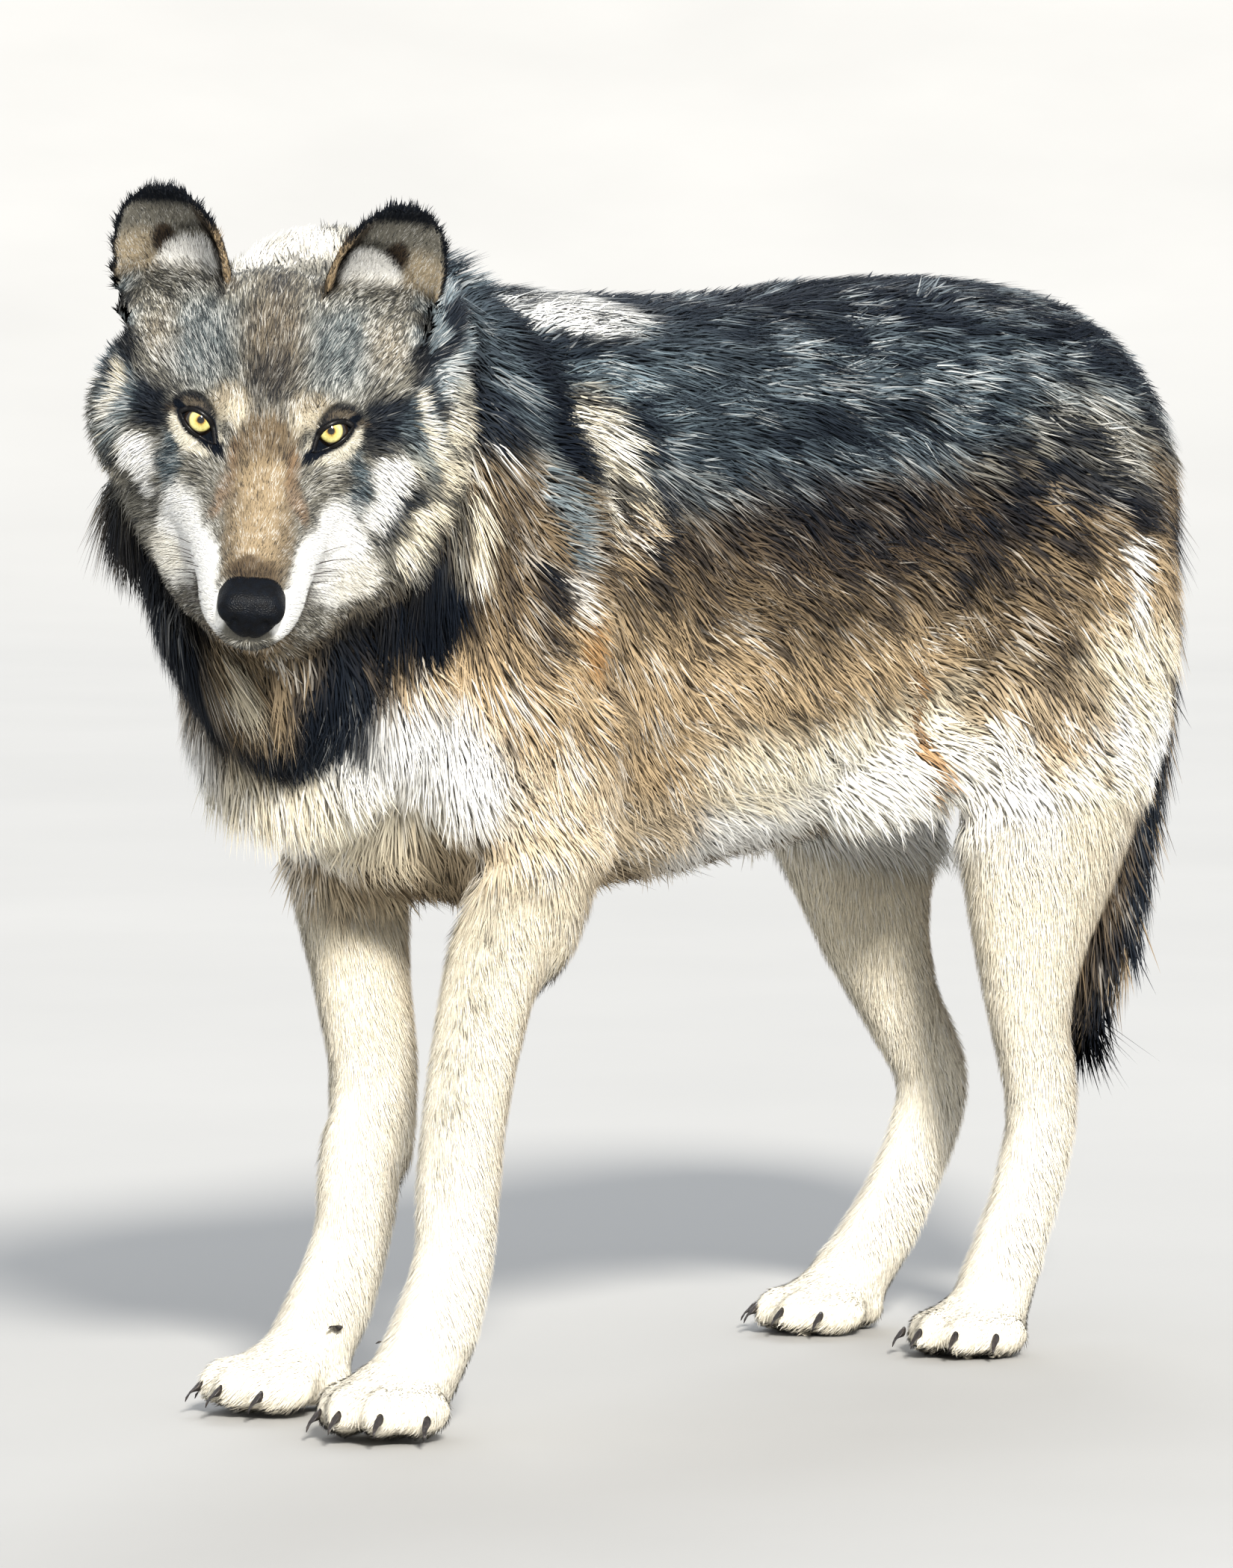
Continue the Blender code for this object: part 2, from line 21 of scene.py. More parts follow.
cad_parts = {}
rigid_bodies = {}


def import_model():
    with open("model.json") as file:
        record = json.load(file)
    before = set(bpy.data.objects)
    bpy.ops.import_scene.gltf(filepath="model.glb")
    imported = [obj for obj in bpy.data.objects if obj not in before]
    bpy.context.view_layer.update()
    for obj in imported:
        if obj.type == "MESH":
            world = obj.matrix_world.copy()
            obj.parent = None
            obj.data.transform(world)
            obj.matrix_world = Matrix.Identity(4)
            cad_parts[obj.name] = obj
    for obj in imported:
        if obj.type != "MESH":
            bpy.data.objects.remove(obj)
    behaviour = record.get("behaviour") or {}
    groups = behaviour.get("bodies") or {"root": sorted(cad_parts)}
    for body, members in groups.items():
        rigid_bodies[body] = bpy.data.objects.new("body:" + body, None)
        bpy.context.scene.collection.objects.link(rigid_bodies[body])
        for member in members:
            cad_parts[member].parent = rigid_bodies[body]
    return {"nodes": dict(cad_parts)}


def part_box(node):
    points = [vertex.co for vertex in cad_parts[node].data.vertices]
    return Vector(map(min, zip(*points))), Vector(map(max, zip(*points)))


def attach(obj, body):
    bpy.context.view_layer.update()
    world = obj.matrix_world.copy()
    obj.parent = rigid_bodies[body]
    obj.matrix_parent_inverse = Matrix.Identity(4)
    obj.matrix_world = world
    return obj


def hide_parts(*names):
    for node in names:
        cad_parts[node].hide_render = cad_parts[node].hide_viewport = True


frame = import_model()

Array = np.ndarray
Colour = tuple[float, float, float]
Spot = tuple[float, float, float]
Thing = bpy.types.Object
Pair = tuple[Array, Array]
Draws = np.random.Generator
LOG = logging.getLogger("wolf")

BLACK: Colour = (0.006, 0.009, 0.015)
SOOT: Colour = (0.02, 0.026, 0.036)
UMBER: Colour = (0.075, 0.055, 0.038)
SLATE: Colour = (0.16, 0.205, 0.23)
GREY: Colour = (0.215, 0.205, 0.175)
BROWN: Colour = (0.185, 0.14, 0.09)
TAN: Colour = (0.48, 0.365, 0.23)
FAWN: Colour = (0.34, 0.265, 0.175)
RUST: Colour = (0.38, 0.215, 0.09)
CREAM: Colour = (0.86, 0.78, 0.61)
WHITE: Colour = (0.95, 0.94, 0.9)

EYE_SLANT = 30


class Zone(Enum):
    """Parts of the body, each with its own coat."""

    HEAD = 0
    EAR = 1
    NECK = 2
    TRUNK = 3
    FORELEG = 4
    HIND_LEG = 5
    PAW = 6
    TAIL = 7


NODES_OF_ZONE = {
    Zone.HEAD: ("head", "nose", "eye_left", "eye_right"),
    Zone.EAR: ("ear_left", "ear_right"),
    Zone.NECK: ("neck",),
    Zone.TRUNK: ("trunk",),
    Zone.FORELEG: ("foreleg_left", "foreleg_right"),
    Zone.HIND_LEG: ("hind_leg_left", "hind_leg_right"),
    Zone.PAW: ("forepaw_left", "forepaw_right", "hind_paw_left", "hind_paw_right"),
    Zone.TAIL: ("tail",),
}
ZONE_OF_NODE = {node: zone for zone, nodes in NODES_OF_ZONE.items() for node in nodes}
FLESH = [node for node in ZONE_OF_NODE if node != "nose" and not node.startswith("eye")]
SIDES = (1, -1)  # left, right


# ---- numbers


def ease(value: Array, low: float, high: float) -> Array:
    """A smooth step from 0 at low to 1 at high; low may lie above high."""
    part = np.clip((value - low) / (high - low), 0, 1)
    return part * part * (3 - 2 * part)


def blend(a: Array, b: Array | Colour | float, share: Array) -> Array:
    """a turning into b as share goes from 0 to 1, row by row."""
    rows = share[:, None] if np.ndim(a) == 2 else share
    return a * (1 - rows) + np.asarray(b) * rows


def unit(rows: Array) -> Array:
    """Each row scaled to length 1."""
    return rows / np.maximum(np.linalg.norm(rows, axis=1, keepdims=True), 1e-9)


def lengths(rows: Array) -> Array:
    """Length of each row."""
    return np.linalg.norm(rows, axis=1)


def columns(*values: Array) -> Array:
    """Values side by side, as the columns of one array."""
    return np.stack(values, axis=1)


def turned(degrees: float, axis: str) -> Matrix:
    """Turn about one axis."""
    return Matrix.Rotation(math.radians(degrees), 4, axis)


def speckle(points: Array, size: float, seed: int) -> Array:
    """Smooth noise.

    Args:
        points: Where it is read.
        size: The size of its grains.
        seed: Which noise it is.

    Returns:
        0 to 1 for each point.
    """
    scaled = points / size
    cell = np.floor(scaled).astype(np.int64)
    part = scaled - cell
    part = part * part * (3 - 2 * part)
    total = np.zeros(len(points))
    for corner in range(8):
        step = np.array([corner & 1, corner >> 1 & 1, corner >> 2 & 1])
        at = cell + step
        code = at[:, 0] * 73856093 ^ at[:, 1] * 19349663 ^ at[:, 2] * 83492791 ^ seed * 2654435761
        code = (code ^ code >> 13) * 1274126177
        value = (code ^ code >> 16 & 0xFFFF) & 0xFFFF
        total += value / 65535 * np.where(step, part, 1 - part).prod(axis=1)
    return total


@dataclass(frozen=True)
class Axes:
    """Right-angled frame: its origin, and its axes as rows."""

    origin: Array
    rows: Array

    @staticmethod
    def of(place: Matrix) -> "Axes":
        """Frame that a matrix stands for."""
        turn = np.array(place.to_3x3().normalized())
        return Axes(np.array(place.translation), turn.T.copy())

    def into(self, points: Array) -> Array:
        """Points seen in this frame."""
        return (points - self.origin) @ self.rows.T

    def out(self, points: Array) -> Array:
        """Points of this frame, put back."""
        return points @ self.rows + self.origin

    def turn_out(self, ways: Array) -> Array:
        """Directions of this frame, put back."""
        return ways @ self.rows


# ---- how the wolf stands


@dataclass(frozen=True)
class Foot:
    """Paw: its place, the degrees its toes turn out, and its share of full size."""

    x: float
    y: float
    turned: float
    size: float = 1


@dataclass
class Stance:
    """Sizes and places of the solids."""

    eyes_at: Spot = (0.0985, -0.4503, 0.68)
    yaw: float = 44
    roll: float = 4.9
    pitch: float = 35
    eye: Spot = (0.0425, 0.0037, -0.0023)
    eye_radius: float = 0.0125
    paw_length: float = 0.11
    ear_height: float = 0.094
    ear_half_width: float = 0.037
    ear_flare: float = 0.26
    gaze: Spot = (-0.0025, -0.799, 0.6013)
    feet: dict[str, Foot] = field(
        default_factory=lambda: {
            "fore_left": Foot(0.082, -0.304, 14),
            "fore_right": Foot(-0.062, -0.262, -22),
            "hind_left": Foot(0.082, 0.292, 10, 0.92),
            "hind_right": Foot(-0.08, 0.318, -10, 0.92),
        }
    )

    def __post_init__(self) -> None:
        """Finds how far the solids were moved, from where their eyes are."""
        middles = [(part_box(name)[0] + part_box(name)[1]) / 2 for name in ("eye_left", "eye_right")]
        expected = Vector(self.eyes_at) + self.head_turn() @ Vector((0, *self.eye[1:]))
        self.shift = (middles[0] + middles[1]) / 2 - expected
        self.shift.z = 0
        self.moved = np.array(self.shift)
        self.head = Axes.of(self.head_matrix())
        self.ears = {side: Axes.of(self.ear_matrix(side)) for side in SIDES}
        self.lids = {side: self.lid_axes(side) for side in SIDES}

    def head_turn(self) -> Matrix:
        """How the head is turned."""
        return turned(self.yaw, "Z") @ turned(self.roll, "Y") @ turned(self.pitch, "X")

    def head_matrix(self) -> Matrix:
        """Head's own frame: it faces -Y from midway between the eyes."""
        return Matrix.Translation(Vector(self.eyes_at) + self.shift) @ self.head_turn()

    def ear_matrix(self, side: int) -> Matrix:
        """Ear's own frame: up is Z, and its hollow faces -Y."""
        stand = Matrix.Translation((side * 0.066, 0.078, 0.03))
        turn = turned(9 * side, "Y") @ turned(-6, "X") @ turned(12 * side, "Z")
        return self.head_matrix() @ stand @ turn

    def paw_matrix(self, foot: Foot) -> Matrix:
        """Paw's own frame: toes towards -Y, sole on z = 0."""
        place = Matrix.Translation((foot.x + self.shift.x, foot.y + self.shift.y, 0))
        return place @ turned(foot.turned, "Z")

    def eye_middle(self, side: int) -> Array:
        """Middle of an eyeball."""
        return self.head.out(np.array([self.eye]) * (side, 1, 1))[0]

    def lid_axes(self, side: int) -> Axes:
        """Frame at an eyeball's middle: outwards along the lids, forwards, and up."""
        ahead = np.array([side * 0.17, -0.83, 0.53])
        ahead /= np.linalg.norm(ahead)
        outwards = np.array([side * 0.98, 0.2, 0])
        outwards -= ahead * (outwards @ ahead)
        outwards /= np.linalg.norm(outwards)
        up = side * np.cross(ahead, outwards)
        slant = math.radians(EYE_SLANT)
        along = outwards * math.cos(slant) + up * math.sin(slant)
        across = up * math.cos(slant) - outwards * math.sin(slant)
        local = np.array([along, ahead, across])
        return Axes(self.eye_middle(side), local @ self.head.rows)

    def laid_out(self, points: Array) -> Array:
        """Points in the frame where the middle line of the body is x = 0."""
        return points - self.moved


# ---- mesh tools


def deselect() -> None:
    """Leaves nothing selected."""
    bpy.ops.object.select_all(action="DESELECT")


def only(obj: Thing) -> None:
    """Selects obj alone and makes it active."""
    deselect()
    obj.select_set(True)
    bpy.context.view_layer.objects.active = obj


def read(obj: Thing, what: str = "co", of: str = "vertices") -> Array:
    """Places or normals of a mesh's vertices, or middles of its faces."""
    items = getattr(obj.data, of)
    found = np.zeros(len(items) * 3)
    items.foreach_get(what, found)
    return found.reshape(-1, 3)


def start(add: Callable[..., set[str]], **sizes: float | Spot) -> Thing:
    """Primitive to shape, alone selected."""
    deselect()
    add(**sizes)
    return bpy.context.active_object


def move(obj: Thing, points: Array) -> None:
    """Moves a mesh's vertices."""
    obj.data.vertices.foreach_set("co", points.astype(np.float32).ravel())
    obj.data.update()


def apply_all(obj: Thing) -> None:
    """Applies a mesh's modifiers, in order."""
    only(obj)
    for step in list(obj.modifiers):
        bpy.ops.object.modifier_apply(modifier=step.name)


def name_it(obj: Thing, name: str) -> Thing:
    """Names an object and its mesh."""
    obj.name = name
    obj.data.name = name
    return obj


@contextmanager
def editing(obj: Thing, chosen: Array | None = None, kind: str = "FACE") -> Iterator[None]:
    """Edit mode on one mesh.

    Args:
        obj: The mesh.
        chosen: Its selected faces or vertices; None for all.
        kind: FACE or VERT, what chosen counts.
    """
    only(obj)
    bpy.ops.object.mode_set(mode="EDIT")
    if chosen is None:
        bpy.ops.mesh.select_all(action="SELECT")
    else:
        bpy.ops.mesh.select_mode(type=kind)
        bpy.ops.mesh.select_all(action="DESELECT")
        bpy.ops.object.mode_set(mode="OBJECT")
        elements = obj.data.vertices if kind == "VERT" else obj.data.polygons
        elements.foreach_set("select", chosen)
        bpy.ops.object.mode_set(mode="EDIT")
    yield
    bpy.ops.object.mode_set(mode="OBJECT")


def stand(name: str, data: bpy.types.ID) -> Thing:
    """New object in the scene."""
    obj = bpy.data.objects.new(name, data)
    bpy.context.scene.collection.objects.link(obj)
    return obj


def dress(obj: Thing, material: bpy.types.Material, slot: str, *replaced: str) -> Thing:
    """Finishes a piece, hangs it on the root body, and hides the solids it stands for.

    Args:
        obj: The piece.
        material: What it wears.
        slot: Not used.
        replaced: The solids it stands for.

    Returns:
        The piece.
    """
    only(obj)
    bpy.ops.object.shade_smooth()
    obj.data.materials.append(material)
    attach(obj, "root")
    if replaced:
        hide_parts(*replaced)
    return obj


def merge(parts: Sequence[Thing], name: str) -> Thing:
    """Joins meshes into one."""
    deselect()
    for part in parts:
        part.select_set(True)
    bpy.context.view_layer.objects.active = parts[0]
    bpy.ops.object.join()
    return name_it(bpy.context.view_layer.objects.active, name)


def paint(obj: Thing, colours: Array) -> None:
    """Paints the colours that a finish reads on a mesh."""
    layer = obj.data.color_attributes.new(name="Markings", type="FLOAT_COLOR", domain="POINT")
    full = np.ones((len(colours), 4), np.float32)
    full[:, :3] = np.clip(colours, 0, 1)
    layer.data.foreach_set("color", full.ravel())


class Net:
    """Mesh as a net of neighbours."""

    def __init__(self, obj: Thing) -> None:
        """Reads the edges of obj."""
        self.count = len(obj.data.vertices)
        edges = np.zeros(len(obj.data.edges) * 2, np.int64)
        obj.data.edges.foreach_get("vertices", edges)
        self.a, self.b = edges.reshape(-1, 2).T
        degree = np.bincount(self.a, minlength=self.count) + np.bincount(self.b, minlength=self.count)
        self.degree = np.maximum(degree, 1)

    def mean(self, values: Array) -> Array:
        """Mean of the rows of each vertex's neighbours."""
        found = np.empty_like(values, dtype=float)
        for column in range(values.shape[1]):
            v = values[:, column]
            total = np.bincount(self.a, v[self.b], self.count) + np.bincount(self.b, v[self.a], self.count)
            found[:, column] = total / self.degree
        return found

    def smooth(self, values: Array, rounds: int) -> Array:
        """Averages values over neighbours again and again."""
        for _ in range(rounds):
            values = values + 0.5 * (self.mean(values) - values)
        return values

    def relax(self, points: Array, rounds: int, share: Array) -> Array:
        """Smooths places without shrinking them."""
        rows = share[:, None]
        for _ in range(rounds):
            points = points + 0.5 * rows * (self.mean(points) - points)
            points = points - 0.52 * rows * (self.mean(points) - points)
        return points


# ---- shader tools


class Wire:
    """Socket; arithmetic on it adds Math nodes."""

    def __init__(self, bench: "Bench", socket: bpy.types.NodeSocket) -> None:
        """Wraps a socket."""
        self.bench = bench
        self.socket = socket

    def math(self, operation: str, *others: "Wire | float") -> "Wire":
        """One Math node on this value and others."""
        return self.bench.node("ShaderNodeMath", {"operation": operation}, dict(enumerate((self, *others))))


def arithmetic(operation: str, swapped: bool = False) -> Callable[[Wire, "Wire | float"], Wire]:
    """The method for one sign.

    Args:
        operation: The Math node's.
        swapped: The wire comes second, as in 1 - wire.

    Returns:
        The method.
    """

    def combine(wire: Wire, other: "Wire | float") -> Wire:
        """One Math node on a wire and another value."""
        pair = (other, wire) if swapped else (wire, other)
        return wire.bench.node("ShaderNodeMath", {"operation": operation}, dict(enumerate(pair)))

    return combine


Wire.__add__ = Wire.__radd__ = arithmetic("ADD")
Wire.__mul__ = Wire.__rmul__ = arithmetic("MULTIPLY")
Wire.__sub__, Wire.__rsub__ = arithmetic("SUBTRACT"), arithmetic("SUBTRACT", swapped=True)
Wire.__truediv__, Wire.__rtruediv__ = arithmetic("DIVIDE"), arithmetic("DIVIDE", swapped=True)


class Bench:
    """Nodes of one material, round its Principled shader."""

    def __init__(self, name: str) -> None:
        """Starts a material."""
        self.material = bpy.data.materials.new(name)
        self.material.use_nodes = True
        self.tree = self.material.node_tree
        self.shader = self.tree.nodes["Principled BSDF"]

    def node(self, kind: str, settings: dict | None = None, inputs: dict | None = None, output: int | str = 0) -> Wire:
        """Adds one node.

        Args:
            kind: Its type.
            settings: Its properties; a ramp's stops are (place, colour).
            inputs: Its sockets' values or wires.
            output: Which socket comes back.

        Returns:
            That socket.
        """
        made = self.tree.nodes.new(kind)
        for key, value in (settings or {}).items():
            if key == "stops":
                self.set_stops(made.color_ramp, value)
            else:
                setattr(made, key, value)
        for key, value in (inputs or {}).items():
            self.feed(made.inputs[key], value)
        return Wire(self, made.outputs[output])

    def set_stops(self, ramp: bpy.types.ColorRamp, stops: Sequence[tuple[float, Colour]]) -> None:
        """Sets the colours along a ramp."""
        while len(ramp.elements) < len(stops):
            ramp.elements.new(0.5)
        for element, (place, colour) in zip(ramp.elements, stops, strict=True):
            element.position = place
            element.color = (*colour, 1)

    def feed(self, socket: bpy.types.NodeSocket, value: "Wire | float | Sequence[float]") -> None:
        """Links a wire to a socket, or sets its value."""
        if isinstance(value, Wire):
            self.tree.links.new(value.socket, socket)
        elif isinstance(value, tuple) and socket.type == "RGBA":
            socket.default_value = (*value, 1)
        else:
            socket.default_value = value

    def set(self, **inputs: "Wire | float | Colour") -> None:
        """Feeds the shader's own sockets; an underscore stands for a space."""
        for name, value in inputs.items():
            self.feed(self.shader.inputs[name.replace("_", " ")], value)

    def objects(self) -> Wire:
        """Place on the object."""
        return self.node("ShaderNodeTexCoord", output="Object")

    def markings(self) -> Wire:
        """Colour painted on the mesh."""
        return self.node("ShaderNodeAttribute", {"attribute_name": "Markings"}, output="Color")

    def uv(self, name: str) -> Wire:
        """One of the mesh's own UV maps."""
        return self.node("ShaderNodeUVMap", {"uv_map": name})

    def vector(self, operation: str, a: Wire, b: Spot, output: int | str = 0) -> Wire:
        """One Vector Math node."""
        return self.node("ShaderNodeVectorMath", {"operation": operation}, {0: a, 1: b}, output)

    def noise(self, vector: Wire, scale: float, detail: float = 2, rough: float = 0.5) -> Wire:
        """Noise from 0 to 1."""
        inputs = {"Vector": vector, "Scale": scale, "Detail": detail, "Roughness": rough}
        return self.node("ShaderNodeTexNoise", {}, inputs)

    def span(self, value: Wire, low: float, high: float, to_low: float = 0, to_high: float = 1) -> Wire:
        """Value carried from one range to another."""
        inputs = {"Value": value, 1: low, 2: high, 3: to_low, 4: to_high}
        return self.node("ShaderNodeMapRange", {"clamp": True}, inputs)

    def mix(self, share: Wire, a: "Wire | Colour", b: "Wire | Colour") -> Wire:
        """Two colours mixed."""
        return self.node("ShaderNodeMix", {"data_type": "RGBA"}, {0: share, 6: a, 7: b}, output=2)

    def shade(self, colour: Wire, amount: Wire) -> Wire:
        """Colour made lighter or darker by a number."""
        return self.node("ShaderNodeVectorMath", {"operation": "SCALE"}, {0: colour, "Scale": amount})

    def ramp(self, value: Wire, stops: Sequence[tuple[float, Colour]]) -> Wire:
        """Colour for each value."""
        return self.node("ShaderNodeValToRGB", {"stops": stops}, {0: value})

    def bump(self, height: Wire, strength: float, distance: float) -> Wire:
        """Normal bent by a height."""
        return self.node("ShaderNodeBump", {}, {"Strength": strength, "Distance": distance, "Height": height})


@dataclass(frozen=True)
class Finish:
    """What all finishes share."""

    name: str

    def make(self) -> bpy.types.Material:
        """Makes the material."""
        bench = Bench(self.name)
        self.wire(bench)
        return bench.material

    def wire(self, b: Bench) -> None:
        """Wires its nodes."""
        raise NotImplementedError


@dataclass(frozen=True)
class CoatFinish(Finish):
    """Hair: the markings, streaked along each tuft into finer hairs."""

    name: str = "coat"
    roughness: float = 0.7
    streak: float = 0.3
    relief: float = 0.0006

    def wire(self, b: Bench) -> None:
        """Wires its nodes."""
        along = b.uv("Strand")
        hairs = b.noise(b.vector("MULTIPLY", along, (7, 0.9, 1)), 1, 2, 0.6)
        fine = b.noise(b.vector("MULTIPLY", along, (19, 1.6, 1)), 1, 1, 0.5)
        both = hairs * 0.6 + fine * 0.4
        light = b.span(both, 0.28, 0.72, 1 - self.streak, 1 + self.streak)
        b.set(
            Base_Color=b.shade(b.markings(), light),
            Roughness=b.span(fine, 0.3, 0.7, self.roughness - 0.1, self.roughness + 0.12),
            Normal=b.bump(both, 0.55, self.relief),
            Sheen_Weight=0.03,
            Sheen_Roughness=0.5,
            Specular_IOR_Level=0.08,
        )


@dataclass(frozen=True)
class SkinFinish(Finish):
    """Skin under short flat hair, in the coat's markings."""

    name: str = "skin"
    grain: float = 900

    def wire(self, b: Bench) -> None:
        """Wires its nodes."""
        place = b.objects()
        hair = b.noise(b.vector("MULTIPLY", place, (1, 1, 0.35)), self.grain, 3, 0.7)
        broad = b.noise(place, 140, 3, 0.6)
        light = b.span(hair * 0.65 + broad * 0.35, 0.3, 0.7, 0.62, 1.28)
        b.set(
            Base_Color=b.shade(b.markings(), light),
            Roughness=b.span(broad, 0.3, 0.7, 0.62, 0.82),
            Normal=b.bump(hair, 0.7, 0.0008),
            Specular_IOR_Level=0.1,
        )


@dataclass(frozen=True)
class EyeFinish(Finish):
    """Yellow iris with fibres and a dark rim, under a wet coat."""

    middle: Spot
    gaze: Spot
    pupil: float = 0.0023
    iris: float = 0.0079

    def wire(self, b: Bench) -> None:
        """Wires its nodes."""
        gaze = Vector(self.gaze).normalized()
        side = gaze.cross(Vector((0, 0, 1))).normalized()
        up = side.cross(gaze)
        local = b.vector("SUBTRACT", b.objects(), self.middle)
        x, y, z = (b.vector("DOT_PRODUCT", local, tuple(axis), "Value") for axis in (side, up, gaze))
        away = (x * x + y * y).math("SQRT")
        ring = b.node("ShaderNodeCombineXYZ", {}, {0: x / (away + 1e-6), 1: y / (away + 1e-6), 2: away * 120})
        fibre = b.noise(ring, 5.5, 4, 0.7)
        coarse = b.noise(ring, 1.9, 2, 0.6)
        edge = away + (fibre - 0.5) * 0.0007
        share = b.span(edge, 0, 0.01)
        p, i = self.pupil / 0.01, self.iris / 0.01
        stops = [
            (0, (0.003, 0.003, 0.003)),
            (p - 0.02, (0.004, 0.004, 0.003)),
            (p + 0.03, (0.25, 0.15, 0.03)),
            (p + 0.12, (0.56, 0.44, 0.12)),
            (0.5 * (p + i) + 0.06, (0.72, 0.66, 0.27)),
            (i - 0.1, (0.6, 0.55, 0.22)),
            (i - 0.02, (0.12, 0.09, 0.03)),
            (i + 0.02, (0.01, 0.008, 0.006)),
            (1, (0.03, 0.02, 0.015)),
        ]
        colour = b.ramp(share, stops)
        streaked = b.shade(colour, b.span(fibre * 0.7 + coarse * 0.3, 0.3, 0.7, 0.66, 1.3))
        front = b.span(z, 0, 0.004)
        b.set(
            Base_Color=b.mix(front, (0.03, 0.018, 0.014), streaked),
            Roughness=b.span(coarse, 0.3, 0.7, 0.1, 0.16),
            Specular_IOR_Level=0.6,
            Coat_Weight=1,
            Coat_Roughness=0.02,
        )


@dataclass(frozen=True)
class LeatherFinish(Finish):
    """Bare dark pebbled skin."""

    colour: Colour
    tint: Colour
    roughness: float
    pebble: float
    relief: float
    wet: float = 0
    gloss: float = 0.5

    def wire(self, b: Bench) -> None:
        """Wires its nodes."""
        place = b.objects()
        warped = b.noise(place, self.pebble * 0.35, 2, 0.5)
        inputs = {"Vector": place, "Scale": self.pebble}
        cells = b.node("ShaderNodeTexVoronoi", {"feature": "DISTANCE_TO_EDGE"}, inputs)
        raised = b.span(cells, 0, 0.35)
        fine = b.noise(place, self.pebble * 3, 3, 0.6)
        b.set(
            Base_Color=b.mix(b.span(warped, 0.35, 0.65), self.colour, self.tint),
            Roughness=b.span(raised * 0.6 + fine * 0.4, 0.2, 0.9, self.roughness + 0.12, self.roughness - 0.04),
            Normal=b.bump(raised * 0.8 + fine * 0.2, 0.7, self.relief),
            Coat_Weight=self.wet,
            Coat_Roughness=0.22,
            Specular_IOR_Level=self.gloss,
        )


@dataclass(frozen=True)
class HornFinish(Finish):
    """Dark horn with grooves that run to its point."""

    name: str = "claw"

    def wire(self, b: Bench) -> None:
        """Wires its nodes."""
        place = b.objects()
        streak = b.noise(b.vector("MULTIPLY", place, (1, 1, 0.3)), 1400, 3, 0.6)
        broad = b.noise(place, 260, 2, 0.5)
        stops = [(0.3, (0.012, 0.011, 0.012)), (0.55, (0.04, 0.034, 0.032)), (0.8, (0.13, 0.105, 0.085))]
        b.set(
            Base_Color=b.ramp(broad * 0.5 + streak * 0.5, stops),
            Roughness=b.span(streak, 0.3, 0.7, 0.3, 0.46),
            Normal=b.bump(streak, 0.4, 0.0003),
        )


@dataclass(frozen=True)
class FloorFinish(Finish):
    """Pale matt floor."""

    name: str = "studio_floor"

    def wire(self, b: Bench) -> None:
        """Wires its nodes."""
        cloud = b.noise(b.objects(), 1.4, 4, 0.5)
        stops = [(0.3, (0.36, 0.355, 0.345)), (0.7, (0.39, 0.385, 0.375))]
        b.set(Base_Color=b.ramp(cloud, stops), Roughness=b.span(cloud, 0.3, 0.7, 0.82, 0.92))


# ---- markings


@dataclass(frozen=True)
class Patch:
    """Soft-edged ellipsoid of colour, in millimetres and percent."""

    middle: Spot
    radii: Spot
    colour: Colour
    strength: float
    dark: float
    light: float
    soft: float = 35

    def distance(self, points: Array) -> Array:
        """How far out each point lies, 1 at the edge."""
        return lengths((points - np.array(self.middle) / 1000) / (np.array(self.radii) / 1000))


@dataclass(frozen=True)
class Streak:
    """Soft-edged band of colour between two places, in millimetres and percent."""

    start: Spot
    end: Spot
    radius: float
    colour: Colour
    strength: float
    dark: float
    light: float
    soft: float = 40

    def distance(self, points: Array) -> Array:
        """How far out each point lies, 1 at the edge."""
        start, end = np.array(self.start) / 1000, np.array(self.end) / 1000
        way = end - start
        part = np.clip((points - start) @ way / (way @ way), 0, 1)
        return lengths(points - start - part[:, None] * way) / (self.radius / 1000)


